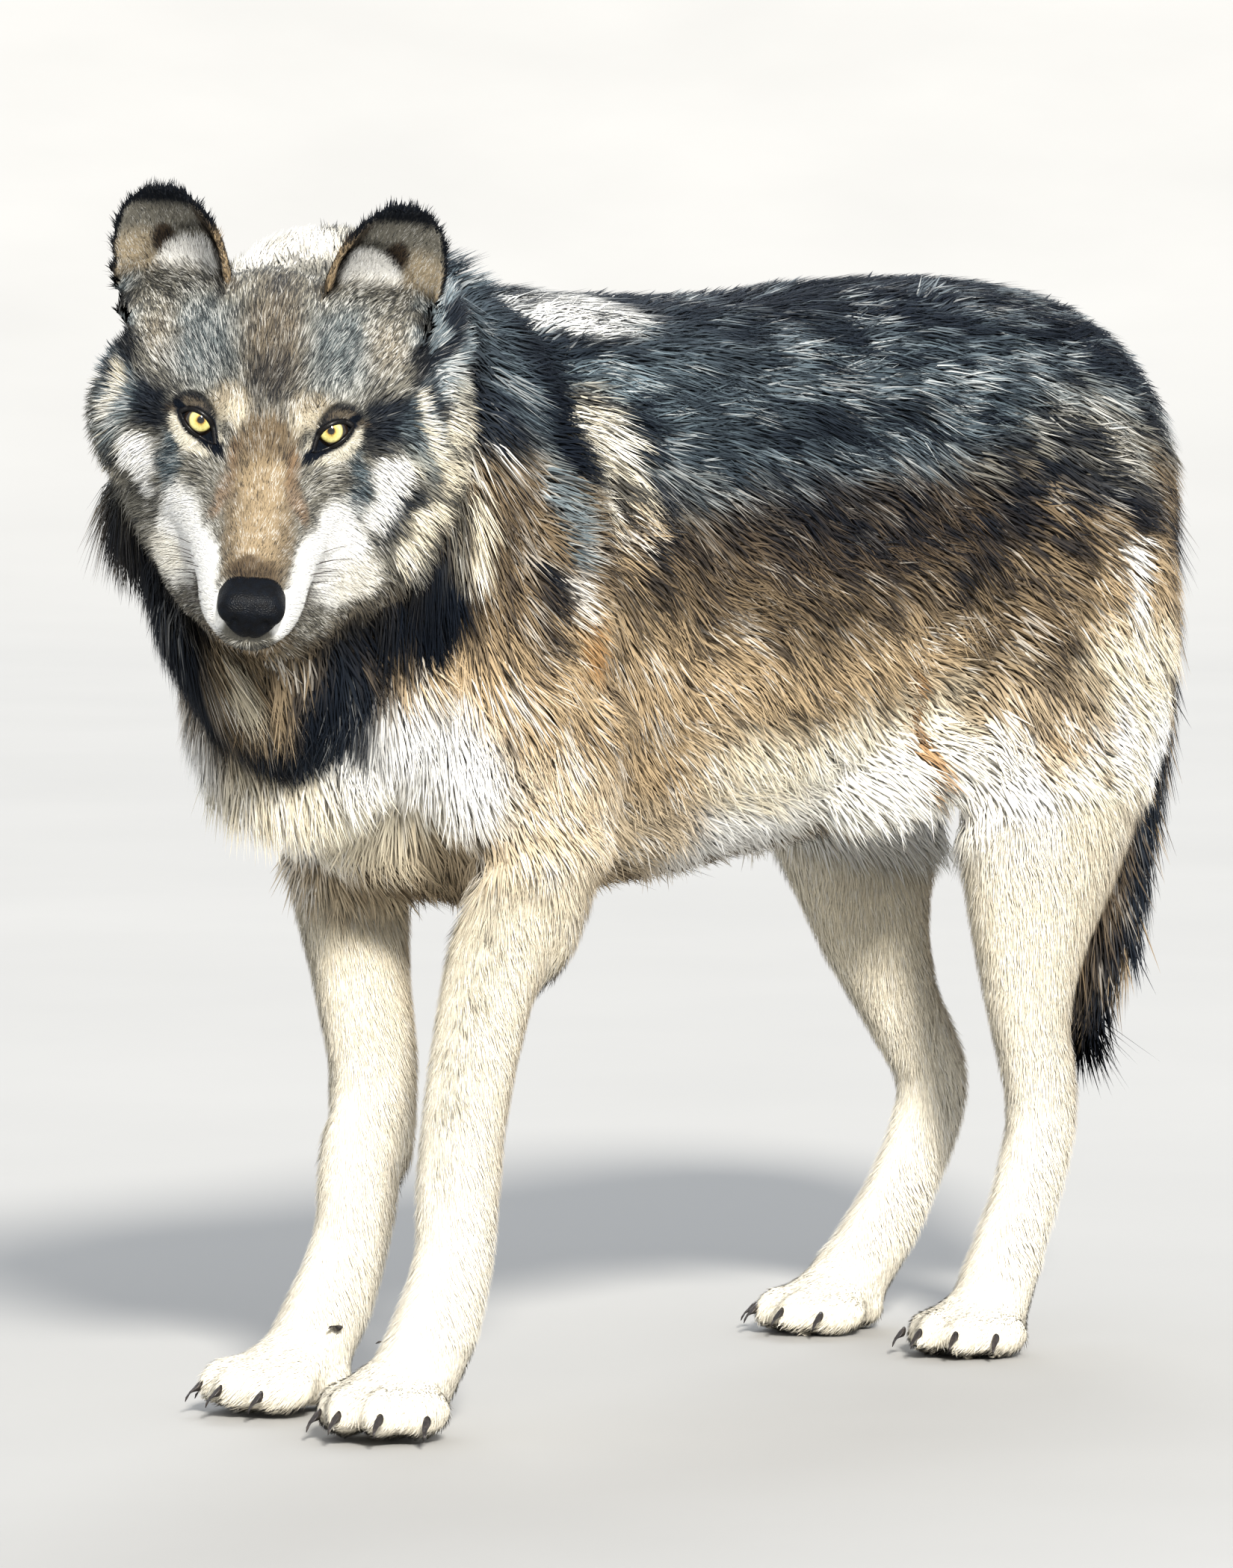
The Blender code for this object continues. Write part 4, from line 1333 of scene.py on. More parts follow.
    def read_zones(self, points: Array) -> None:
        """Finds the zone of each vertex, and softens the borders."""
        spots, owners = [], []
        for name, zone in ZONE_OF_NODE.items():
            node = frame["nodes"][name]
            rows = np.concatenate([read(node), read(node, "center", "polygons")])
            spots.append(rows)
            owners += [zone.value] * len(rows)
        rows = np.concatenate(spots)
        tree = KDTree(len(rows))
        for index, row in enumerate(rows):
            tree.insert(row, index)
        tree.balance()
        nearest = np.array([owners[tree.find(point)[1]] for point in points])
        shares = np.eye(len(Zone))[nearest]
        self.zones = self.net.smooth(shares, self.spread)

    def subdivide_face(self) -> None:
        """Makes finer faces round the eyes, the ears and the mouth."""
        for reach, front in ((self.eye_reach, -0.02), (0.022, -0.085)):
            points = read(self.obj)
            head = self.stance.head.into(points)
            chosen = (head[:, 1] < front) & (head[:, 2] > -0.105) & (np.abs(head[:, 0]) < 0.055)
            for side in SIDES:
                chosen |= lengths(points - self.stance.eye_middle(side)) < reach
                local = self.stance.ears[side].into(points)
                chosen |= (reach > 0.025) & (local[:, 2] > 0.02) & (lengths(local) < 0.12)
            polygons = self.obj.data.polygons
            corners = np.zeros(len(self.obj.data.loops), np.int64)
            self.obj.data.loops.foreach_get("vertex_index", corners)
            starts = np.zeros(len(polygons), np.int64)
            polygons.foreach_get("loop_start", starts)
            picked = np.add.reduceat(chosen[corners].astype(int), starts) > 2
            with editing(self.obj, picked):
                bpy.ops.mesh.subdivide(number_cuts=1, smoothness=0.6)
        self.net = Net(self.obj)
        points = read(self.obj)
        self.read_zones(points)
        self.outer = points

    def read_pelt(self, points: Array, normals: Array) -> Pelt:
        """The depth, length, width, density and lie of the coat.

        Args:
            points: Vertices on the outside of the coat.
            normals: Their normals.

        Returns:
            The pelt.
        """
        habit = self.zones @ np.array([HABITS[zone] for zone in Zone])

        def turn(share: Array, *goal: float | None) -> None:
            """Turns the habit towards a goal; None leaves a column as it is."""
            for column, value in enumerate(goal):
                if value is not None:
                    habit[:, column] = blend(habit[:, column], value, share)

        stance = self.stance
        (x, y, z), (across, along, height) = stance.head.into(points).T, stance.laid_out(points).T
        on_head = self.zone(Zone.HEAD)
        muzzle = ease(y, -0.015, -0.05)
        cheek = ease(np.abs(x), 0.058, 0.1) * ease(z, 0.03, -0.02)
        cheek = np.maximum(cheek, ease(y, -0.02, 0.03) * ease(z, -0.055, -0.09))
        nape = ease(y, 0.085, 0.125)
        turn(on_head * muzzle, 0.0017, 0.006, 0.0008, 115)
        turn(on_head * (cheek * (1 - muzzle)), 0.013, 0.034, 0.0012, 46)
        turn(on_head * (nape * (1 - cheek)), 0.013, 0.033, 0.0013, 42)
        eyes = np.min([lengths(points - stance.eye_middle(side)) for side in SIDES], axis=0)
        turn(on_head * ease(eyes, 0.034, 0.02), 0.002, 0.0055, 0.0008, 120)
        for side in SIDES:
            local = stance.ears[side].into(points)
            foot = (local - (0, -0.014, 0.008)) / (0.046, 0.03, 0.03)
            turn(on_head * ease(lengths(foot), 1.25, 0.7), 0.003, 0.008, 0.0009, 80)
            hollow = (local * (side, 1, 1) - (-0.01, -0.014, 0.006)) / (0.028, 0.024, 0.02)
            turn(on_head * ease(lengths(hollow), 1.3, 0.5), 0.0062)
            facing = normals @ stance.ears[side].rows.T
            inner = self.zone(Zone.EAR) * ease(-facing[:, 1], 0, 0.4)
            turn(inner, None, 0.0095, 0.0011)
            turn(inner * ease(ear_plume(local[:, 0] * side, local[:, 2]), 1.3, 0.8), 0.003, 0.017)
        low = self.zone(Zone.TRUNK) * ease(height, 0.5, 0.42) * ease(np.abs(across), 0.05, 0.12)
        limb = ease(np.abs(along + 0.2), 0.13, 0.06) + ease(np.abs(along - 0.36), 0.15, 0.08)
        turn(low * np.clip(limb, 0, 1) * 0.8, 0.011, 0.03)
        turn(self.zone(Zone.FORELEG, Zone.HIND_LEG) * ease(height, 0.3, 0.41), 0.0085, 0.028, 0.0013, 20)
        tip = self.zone(Zone.TAIL) * ease(height, 0.34, 0.16)
        turn(tip, 0.005)
        turn(tip * 0.8, None, 0.075)
        return Pelt(*habit.T, Lie(stance).directions(points, normals, self))

    def draw_in(self) -> None:
        """Draws the skin in by the coat's depth, and the tail to its bone."""
        points = self.outer
        normals = read(self.obj, "normal")
        self.pelt = self.read_pelt(points, normals)
        depth = self.net.smooth(self.pelt.depth[:, None], 4)[:, 0]
        floor = points[:, 2] < 0.003
        for _ in range(self.lay_rounds):
            step = (depth / self.lay_rounds)[:, None] * read(self.obj, "normal")
            step[floor, 2] = np.minimum(step[floor, 2], 0)
            points = points - step
            share = np.clip(depth / 0.015, 0.1, 1) * ~floor
            points = self.net.relax(points, 3, share)
            points[:, 2] = np.maximum(points[:, 2], 0)
            move(self.obj, points)
        tail = self.zone(Zone.TAIL)
        low = np.maximum(0.34 - points[:, 2], 0)
        points[:, 2] += tail * low * 0.42
        self.points = points
        move(self.obj, points)

    def shape_face(self) -> None:
        """Seats the eyes behind their lids, and cuts the mouth."""
        head = self.stance.head.into(self.points)
        bed = LidBed(self.stance.eye_radius)
        opening = Almond()
        for side in SIDES:
            axes = self.stance.lids[side]
            local = axes.into(self.points)
            along, ahead, across = local.T
            reach = np.hypot((along + 0.002) / 0.025, (across - 0.001) / 0.0185)
            near = ease(reach, 1.35, 0.8) * (ahead > -0.004) * (lengths(local) < 0.036)
            open_ = opening.distance(along, across) < 0
            target = np.where(open_, bed.inside(along, across), bed.outside(along, across))
            out, up = opening.level(along, across)
            crease = np.exp(-((opening.arch(out, up) / 0.0013) ** 2)) * ease(out, -0.013, -0.009)
            target = target - 0.0013 * crease * ease(out, 0.024, 0.018)
            local[:, 1] = blend(ahead, target, near)
            self.points = axes.out(local)
        head = self.stance.head.into(self.points)
        mouth = Mouth()
        off = head[:, 2] - mouth.line(head)
        along = ease(head[:, 1], mouth.corner, mouth.corner - 0.01)
        groove = np.exp(-((off / 0.0016) ** 2)) * along
        jaw = ease(off, 0, -0.006) * along
        head[:, 0] *= 1 - 0.035 * groove - 0.05 * jaw
        front = ease(head[:, 1], -0.105, -0.125)
        head[:, 1] += front * (0.0022 * groove + 0.0045 * jaw)
        under = front * np.exp(-((head[:, 0] / 0.0011) ** 2)) * ease(off, 0, 0.003)
        head[:, 1] += 0.0016 * under
        seat = ease(np.abs(head[:, 0]), 0.024, 0.019) * ease(head[:, 1], -0.116, -0.124)
        seat = seat * ease(head[:, 2], -0.07, -0.064)
        head[:, 1] += 0.0035 * seat
        self.points = self.stance.head.out(head)
        move(self.obj, self.points)

    def finish(self) -> None:
        """Paints and dresses the skin."""
        self.normals = read(self.obj, "normal")
        ground = Ground(self.points, self.normals, self.zones)
        dye = self.markings.wear(ground)
        # Painted shade: the skin is darkened where the coat over it is deep, the more so where its colour is dark.
        coat_shade = 1 - 0.35 * np.clip(self.pelt.depth / 0.01, 0, 1) * ease(dye.colour.mean(axis=1), 0.8, 0.3)
        colours = dye.colour * coat_shade[:, None]
        sole = ease(-self.normals[:, 2], 0.6, 0.8) * (self.points[:, 2] < 0.008)
        colours = blend(colours, (0.02, 0.018, 0.018), sole)
        paint(self.obj, colours)
        dress(self.obj, SkinFinish().make(), "trunk", *FLESH)


@dataclass
class Lie:
    """Which way the hair lies over the body."""

    stance: Stance

    def directions(self, points: Array, normals: Array, skin: Skin) -> Array:
        """The lie at each point, along the surface.

        Args:
            points: Where it is wanted.
            normals: The surface's.
            skin: For its zones.

        Returns:
            Unit directions.
        """
        body = self.stance.laid_out(points)
        ways = np.zeros_like(points)
        for share, way in (
            (skin.zone(Zone.HEAD), self.head(points)),
            (skin.zone(Zone.EAR), self.ear(points)),
            (skin.zone(Zone.NECK), self.neck(body)),
            (skin.zone(Zone.TRUNK), self.trunk(body)),
            (skin.zone(Zone.FORELEG, Zone.HIND_LEG), unit(np.array([[0, 0.1, -1]]))),
            (skin.zone(Zone.PAW), self.paw(body)),
            (skin.zone(Zone.TAIL), self.tail(body)),
        ):
            ways += share[:, None] * way
        ways = unit(ways)
        ways = ways - normals * np.sum(ways * normals, axis=1, keepdims=True)
        fall = np.array([0, 0.2, -1])
        return unit(ways + 0.02 * (fall - normals * (normals @ fall)[:, None]))

    def head(self, points: Array) -> Array:
        """Back from the nose, up over the brow, and down across the cheeks."""
        head = self.stance.head.into(points)
        x, _, z = head.T
        out = ease(np.abs(x), 0.02, 0.085)
        low = ease(z, 0.02, -0.03)
        side = np.sign(x) * ease(np.abs(x), 0.004, 0.03)
        ways = unit(
            columns(
                side * (0.1 + 0.75 * out * low + 0.25 * out * (1 - low)),
                1 - 0.35 * out * low,
                0.35 * (1 - low) - 0.85 * out * low - 0.25 * low,
            )
        )
        for eye in SIDES:
            away = head - np.array(self.stance.eye) * (eye, 1, 1)
            near = ease(lengths(away), 0.034, 0.016)
            ways = unit(blend(ways, unit(away), 0.75 * near))
        return self.stance.head.turn_out(ways)

    def ear(self, points: Array) -> Array:
        """Up each ear, and out towards its rim."""
        ways = np.zeros_like(points)
        for side in SIDES:
            local = self.stance.ears[side].into(points)
            near = (lengths(local) < 0.12)[:, None]
            x = 14 * local[:, 0]
            way = unit(columns(x, 0 * x - 0.15, 0 * x + 1))
            ways += near * self.stance.ears[side].turn_out(way)
        return unit(ways)

    def neck(self, body: Array) -> Array:
        """Back along the neck on top, and down towards the chest."""
        x, _, z = body.T
        low = ease(z, 0.76, 0.62)
        out = np.sign(x - 0.02) * 0.18 * low
        return unit(columns(out - 0.1, 0.95 - 0.75 * low, -0.2 - 0.95 * low))

    def trunk(self, body: Array) -> Array:
        """Back along the spine, and down over the chest, shoulders and thighs."""
        y, z = body[:, 1], body[:, 2]
        chest = ease(y, -0.2, -0.34)
        limb = np.clip(ease(np.abs(y + 0.19), 0.16, 0.06) + ease(y, 0.22, 0.36), 0, 1) * ease(z, 0.62, 0.48)
        side = ease(z, 0.76, 0.6)
        down = 0.1 + 0.42 * side + 0.85 * limb
        down = blend(down, 1.3, chest)
        back = blend(np.full(len(y), 1.0), 0.15, chest)
        rear = ease(y, 0.44, 0.53)
        back = blend(back, 0.35, rear)
        down = blend(down, 1, rear)
        return unit(columns(0 * y, back, -down))

    def paw(self, body: Array) -> Array:
        """Forwards and down over the toes."""
        ways = np.zeros_like(body)
        for foot in self.stance.feet.values():
            near = np.hypot(body[:, 0] - foot.x, body[:, 1] - foot.y) < 0.085
            turn = math.radians(foot.turned)
            ways[near] = (math.sin(turn), -math.cos(turn), 0)
        low = ease(body[:, 2], 0.075, 0.035)[:, None]
        return unit(ways * (0.15 + 0.85 * low) + (0, 0, -0.75))

    def tail(self, body: Array) -> Array:
        """Along the tail to its tip."""
        top = ease(body[:, 2], 0.6, 0.655)
        return unit(columns(0 * top, -0.08 + 0.9 * top, -1 + 0.3 * top))


# ---- the coat


@dataclass(frozen=True)
class Blade:
    """Tuft's faces, and where its points lie across and along it."""

    faces: tuple[tuple[int, ...], ...]
    across: tuple[float, ...]
    along: tuple[float, ...]


class Tuft(Enum):
    """Straight spike, or a bent lock pointed at both ends."""

    SPIKE = Blade(((0, 1, 3), (1, 2, 3), (2, 0, 3), (0, 2, 1)), (0, 0.5, 1, 0.5), (0, 0, 0, 1))
    LOCK = Blade(
        ((0, 2, 1), (0, 3, 2), (0, 1, 3), (1, 2, 4), (2, 3, 4), (3, 1, 4)),
        (0.5, 0, 0.5, 1, 0.5),
        (0, 0.46, 0.46, 0.46, 1),
    )


def is_face(head: Array, body: Array) -> Array:
    """True in front of the cheeks and the crown."""
    x, y, z = head.T
    return (y < 0.055) & (np.abs(x) < 0.07) & (z > -0.105)


@dataclass(frozen=True)
class Lay:
    """Piece of the coat: where it grows, its tufts, and how it is unwrapped."""

    name: str
    zone: Zone
    slot: str
    tuft: Tuft
    tufts: int
    tiles: Callable[["Coat", Array, Array], Pair]
    keep: Callable[[Array, Array], Array] = lambda head, body: np.ones(len(body), bool)


@dataclass
class Roots:
    """Where tufts grow from, and the numbers of each."""

    points: Array
    normals: Array
    lie: Array
    zones: Array
    depth: Array
    length: Array
    width: Array


@dataclass
class Coat:
    """Tufts of the coat, each a closed three-sided blade."""

    stance: Stance
    skin: Skin
    markings: Markings
    thinning: float = 1
    patch: float = 0.003
    relief: float = 0.34
    sink: float = 0.0008
    bow: float = 0.48
    keel: float = 0.05
    crown: float = 0.24
    seed: int = 7

    def build(self) -> list[Thing]:
        """Grows every piece of the coat."""
        self.material = CoatFinish().make()
        self.read_triangles()
        return [self.grow(lay, np.random.default_rng(self.seed + place)) for place, lay in enumerate(self.lays())]

    def lays(self) -> list[Lay]:
        """Pieces of the coat; the trunk's part at the shoulders and the thighs."""
        spike, lock, shoulder, thigh = Tuft.SPIKE, Tuft.LOCK, -0.08, 0.2
        head, body, leg = Coat.round_head, Coat.round_body, Coat.round_legs
        return [
            Lay("coat_face", Zone.HEAD, "head", spike, 46000, head, is_face),
            Lay("coat_cheeks", Zone.HEAD, "head", lock, 31000, head, lambda head, body: ~is_face(head, body)),
            Lay("coat_ears", Zone.EAR, "ear_left", spike, 14000, Coat.round_ears),
            Lay("coat_neck", Zone.NECK, "neck", lock, 29000, body),
            Lay("coat_chest", Zone.TRUNK, "trunk", lock, 32500, body, lambda head, body: body[:, 1] < shoulder),
            Lay(
                "coat_back", Zone.TRUNK, "trunk", lock, 30500, body,
                lambda head, body: (body[:, 1] >= shoulder) & (body[:, 1] < thigh),
            ),
            Lay("coat_rump", Zone.TRUNK, "trunk", lock, 32000, body, lambda head, body: body[:, 1] >= thigh),
            Lay("coat_forelegs", Zone.FORELEG, "foreleg_left", spike, 27000, leg),
            Lay("coat_hind_legs", Zone.HIND_LEG, "hind_leg_left", spike, 29000, leg),
            Lay("coat_paws", Zone.PAW, "forepaw_left", spike, 17500, Coat.round_paws),
            Lay("coat_tail", Zone.TAIL, "tail", lock, 9000, Coat.round_tail),
        ]

    def read_triangles(self) -> None:
        """Reads the skin's triangles, their areas and what they wear."""
        mesh = self.skin.obj.data
        mesh.calc_loop_triangles()
        corners = np.zeros(len(mesh.loop_triangles) * 3, np.int64)
        mesh.loop_triangles.foreach_get("vertices", corners)
        self.corners = corners.reshape(-1, 3)
        a, b, c = (self.skin.points[self.corners[:, k]] for k in range(3))
        self.areas = lengths(np.cross(b - a, c - a)) / 2
        self.middles = (a + b + c) / 3
        self.wanted = self.skin.pelt.density[self.corners].mean(axis=1) * 1e4 * self.areas
        self.at_head = self.stance.head.into(self.middles)
        self.at_body = self.stance.laid_out(self.middles)
        self.bare()
        self.owner = self.skin.zones[self.corners].mean(axis=1).argmax(axis=1)

    def bare(self) -> None:
        """Bares the eyes, the nose, the lips and the soles."""
        for side in SIDES:
            local = self.stance.lids[side].into(self.middles)
            inside = (Almond().distance(local[:, 0], local[:, 2]) < 0.0016) & (local[:, 1] > -0.002)
            self.wanted[inside & (np.abs(local[:, 0]) < 0.024)] = 0
        x, y, z = self.at_head.T
        self.wanted[(np.abs(x) < 0.0215) & (y < -0.119) & (z > -0.068)] = 0
        self.wanted[(np.abs(z - Mouth().line(self.at_head)) < 0.0014) & (y < -0.04)] = 0
        self.wanted[self.middles[:, 2] < 0.0025] = 0

    def scatter(self, lay: Lay, rng: Draws) -> Roots:
        """Picks the roots of one piece, evenly for its density.

        Args:
            lay: The piece.
            rng: Its random numbers.

        Returns:
            The roots.
        """
        mine = (self.owner == lay.zone.value) & lay.keep(self.at_head, self.at_body)
        weight = np.where(mine, self.wanted, 0)
        total = weight.sum()
        count = int(min(total, lay.tufts) * self.thinning)
        marks = (np.arange(count) + rng.random(count)) / count * total
        picked = np.searchsorted(np.cumsum(weight), marks)
        picked = np.minimum(picked, len(weight) - 1)
        u, v = rng.random(count), rng.random(count)
        over = u + v > 1
        u[over], v[over] = 1 - u[over], 1 - v[over]
        shares = columns(1 - u - v, u, v)
        trio = self.corners[picked]

        def carry(values: Array) -> Array:
            """Values at the roots, from the three corners round each."""
            parts = shares[:, :, None] if values.ndim == 2 else shares
            return (values[trio] * parts).sum(axis=1)

        pelt = self.skin.pelt
        rest = math.sqrt(max(total / max(count, 1), 1))
        return Roots(
            carry(self.skin.points),
            unit(carry(self.skin.normals)),
            carry(pelt.lie),
            carry(self.skin.zones),
            carry(pelt.depth),
            carry(pelt.length),
            carry(pelt.width) * min(rest, 1.9),
        )

    def grow(self, lay: Lay, rng: Draws) -> Thing:
        """Makes one piece of the coat."""
        roots = self.scatter(lay, rng)
        count = len(roots.points)
        lie = unit(roots.lie - roots.normals * np.sum(roots.lie * roots.normals, axis=1, keepdims=True))
        wave = (speckle(roots.points, 0.032, 61) - 0.5) * 0.9 + (speckle(roots.points, 0.01, 62) - 0.5) * 0.6
        turn = wave * (0.45 + 0.55 * ease(roots.length, 0.01, 0.03)) + rng.normal(0, 0.15, count)
        across = np.cross(lie, roots.normals)
        way = lie * np.cos(turn)[:, None] + across * np.sin(turn)[:, None]
        length = roots.length * rng.uniform(0.72, 1.18, count)
        height = roots.depth * rng.uniform(0.66, 1.1, count) + self.sink
        lift = np.arcsin(np.clip(height / length, 0.05, 0.75))
        first, second = 1.3 * lift, 0.55 * lift
        start = roots.points - roots.normals * self.sink
        bend = start + self.step(way, roots.normals, first, length * self.bow)
        tip = bend + self.step(way, roots.normals, second, length * (1 - self.bow))
        tip += (length * 0.5)[:, None] * (0, 0, -0.1)
        width = roots.width * rng.uniform(0.75, 1.25, count)
        dye = self.markings.wear(Ground(0.5 * (bend + tip), roots.normals, roots.zones))
        verts, facing = self.points(lay.tuft, start, bend, tip, roots.normals, width)
        colours = self.tint(lay.tuft, roots, dye, rng)
        tiles = lay.tiles(self, roots.points, roots.normals)
        obj = self.mesh(lay, verts, facing, colours, tiles, length, rng)
        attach(obj, "root")
        return obj

    def step(self, way: Array, normals: Array, lift: Array, length: Array) -> Array:
        """Length of hair that rises by an angle."""
        return (way * np.cos(lift)[:, None] + normals * np.sin(lift)[:, None]) * length[:, None]

    def points(
        self, tuft: Tuft, start: Array, bend: Array, tip: Array, normals: Array, width: Array
    ) -> Pair:
        """Points of each tuft, and their facings: mostly the skin's, so that the coat is soft.

        Args:
            tuft: Its kind.
            start: Its root.
            bend: Its middle.
            tip: Its tip.
            normals: The skin's.
            width: Its widest.

        Returns:
            A row of points and one of facings for each tuft.
        """
        spike = tuft is Tuft.SPIKE
        at, along = start if spike else bend, unit(tip - start)
        side = unit(np.cross(along, normals))
        top = np.cross(side, along)
        half = 0.5 * width[:, None]
        low = at - top * half * self.keel
        ring = [low - side * half, at + top * half * self.crown, low + side * half]
        verts = columns(*([] if spike else [start]), *ring, tip)
        verts[:, :, 2] = np.maximum(verts[:, :, 2], self.sink)
        own = columns(*([] if spike else [top]), -side, top, side, top)
        facing = normals[:, None, :] * (1 - self.relief) + own * self.relief
        return verts, facing / np.linalg.norm(facing, axis=2, keepdims=True)

    def tint(self, tuft: Tuft, roots: Roots, dye: Dye, rng: Draws) -> Array:
        """Colours of each tuft's points, banded as a wild coat is."""
        count = len(roots.points)
        long = ease(roots.length, 0.01, 0.03)
        patchy = blend(speckle(roots.points, 0.0045, 72), speckle(roots.points - roots.lie * 0.02, 0.011, 71), long)
        clump = patchy * (0.4 + 0.35 * long) + rng.random(count) * (0.6 - 0.35 * long)
        order = np.clip((clump - 0.2) / 0.6, 0, 1)
        dark = ease(dye.dark - order, 0, 0.14)
        light = ease(dye.light - (1 - order), 0, 0.14)
        base = dye.colour * rng.uniform(0.84, 1.16, count)[:, None]
        bend, tip = base.copy(), base * 1.06
        bend = blend(bend, np.array(BLACK) * 1.8, 0.5 * dark)
        tip = blend(tip, np.array(BLACK), 0.9 * dark)
        pale = blend(base, np.tile(np.array(WHITE), (count, 1)), 0.25 + 0.45 * ease(base.mean(axis=1), 0.1, 0.3))
        bend = blend(bend, pale, 0.7 * light)
        tip = blend(tip, pale, 0.8 * light)
        root = base * (0.45 + 0.48 * ease(base.mean(axis=1), 0.3, 0.7))[:, None]
        if tuft is Tuft.SPIKE:
            low = 0.25 * root + 0.75 * bend
            return columns(low, low, low, tip)
        return columns(root, bend, bend, bend, tip)

    def mesh(
        self, lay: Lay, rows: Array, facing: Array, colours: Array, tiles: Pair, length: Array, rng: Draws
    ) -> Thing:
        """Joins the tufts into one mesh with its colours and UV maps."""
        blade = lay.tuft.value
        count, corners_each = rows.shape[:2]
        template = np.array(blade.faces).ravel()
        mesh = bpy.data.meshes.new(lay.name)
        mesh.vertices.add(corners_each * count)
        mesh.vertices.foreach_set("co", rows.astype(np.float32).ravel())
        mesh.loops.add(len(template) * count)
        corners = (template[None, :] + corners_each * np.arange(count)[:, None]).ravel()
        mesh.loops.foreach_set("vertex_index", corners.astype(np.int32))
        faces = len(blade.faces) * count
        mesh.polygons.add(faces)
        mesh.polygons.foreach_set("loop_start", np.arange(0, 3 * faces, 3, dtype=np.int32))
        mesh.update(calc_edges=True)
        mesh.polygons.foreach_set("use_smooth", np.ones(faces, bool))
        mesh.normals_split_custom_set_from_vertices(facing.reshape(-1, 3).tolist())
        obj = stand(lay.name, mesh)
        paint(obj, colours.reshape(-1, 3))
        across, along = np.array(blade.across)[template], np.array(blade.along)[template]
        strand = np.zeros((count, len(template), 2), np.float32)
        strand[:, :, 0] = across[None, :] + (rng.random(count) * 53)[:, None]
        strand[:, :, 1] = along[None, :] * (length / 0.02)[:, None] + (rng.random(count) * 31)[:, None]
        mesh.uv_layers.new(name="Strand").data.foreach_set("uv", strand.ravel())
        bake = np.zeros((count, len(template), 2), np.float32)
        for axis, own in enumerate((across, along)):
            root = np.clip(tiles[axis], 0.004, 0.996)
            bake[:, :, axis] = root[:, None] + (own[None, :] - 0.5) * self.patch
        mesh.uv_layers.new(name="OFBake").data.foreach_set("uv", bake.ravel())
        mesh.materials.append(self.material)
        return obj

    # Unwraps of the skin: round each part, and along it.

    def unwrap(self, side: Array, top: Array, along: Array) -> Pair:
        """Round a part by angle, and along it from end to end."""
        low, high = along.min(), along.max()
        return 0.5 + np.arctan2(side, top) / math.tau, (along - low) / max(high - low, 1e-6)

    def round_head(self, points: Array, normals: Array) -> Pair:
        """Round the head, and back from the nose."""
        x, y, z = self.stance.head.into(points).T
        return self.unwrap(x, z + 0.045, y)

    def round_ears(self, points: Array, normals: Array) -> Pair:
        """Inside and outside each ear, side by side."""
        u, v = np.zeros(len(points)), np.zeros(len(points))
        for number, side in enumerate((1, -1)):
            local = self.stance.ears[side].into(points)
            mine = lengths(local - (0, 0, 0.05)) < 0.075
            inner = (normals @ self.stance.ears[side].rows.T)[:, 1] < 0
            column = 2 * number + inner
            wide = np.clip(0.5 + local[:, 0] / 0.09, 0.02, 0.98)
            u = np.where(mine, (column + wide) / 4, u)
            v = np.where(mine, np.clip((local[:, 2] + 0.01) / 0.11, 0, 1), v)
        return u, v

    def round_body(self, points: Array, normals: Array) -> Pair:
        """Round the trunk or the neck, and along it."""
        x, y, z = self.stance.laid_out(points).T
        return self.unwrap(x, z - 0.57, y - 0.25 * z)

    def round_legs(self, points: Array, normals: Array) -> Pair:
        """Round each leg, side by side."""
        body = self.stance.laid_out(points)
        column = 2 * (body[:, 1] > 0.05) + (body[:, 0] > 0)
        u, v = np.zeros(len(points)), np.zeros(len(points))
        for number in range(4):
            mine = column == number
            if mine.any():
                leg = body[mine]
                bins = np.linspace(leg[:, 2].min(), leg[:, 2].max() + 1e-6, 16)
                cell = np.clip(np.digitize(leg[:, 2], bins) - 1, 0, 14)
                slices = [leg[cell == k] if (cell == k).any() else leg for k in range(15)]
                middle = np.array([part[:, :2].mean(axis=0) for part in slices])
                centres = (bins[:-1] + bins[1:]) / 2
                x, y = (np.interp(leg[:, 2], centres, middle[:, axis]) for axis in (0, 1))
                angle, rise = self.unwrap(leg[:, 0] - x, leg[:, 1] - y, leg[:, 2])
                u[mine], v[mine] = (number + np.clip(angle, 0.02, 0.98)) / 4, rise
        return u, v

    def round_paws(self, points: Array, normals: Array) -> Pair:
        """Each paw from its instep outwards, side by side."""
        body = self.stance.laid_out(points)
        u, v = np.zeros(len(points)), np.zeros(len(points))
        for number, foot in enumerate(self.stance.feet.values()):
            away = body - (foot.x, foot.y, 0.02)
            mine = np.hypot(away[:, 0], away[:, 1]) < 0.085
            angle = 0.5 + np.arctan2(away[:, 0], away[:, 1]) / math.tau
            polar = np.arccos(np.clip(away[:, 2] / np.maximum(lengths(away), 1e-6), -1, 1))
            u = np.where(mine, (number + np.clip(angle, 0.02, 0.98)) / 4, u)
            v = np.where(mine, polar / 2.4, v)
        return u, np.clip(v, 0, 1)

    def round_tail(self, points: Array, normals: Array) -> Pair:
        """Round the tail, and down it."""
        x, y, z = self.stance.laid_out(points).T
        middle = np.interp(z, [0.145, 0.29, 0.44, 0.59, 0.64], [0.503, 0.522, 0.549, 0.546, 0.52])
        return self.unwrap(x, y - middle, z)


# ---- eyes, lids, nose, claws and whiskers


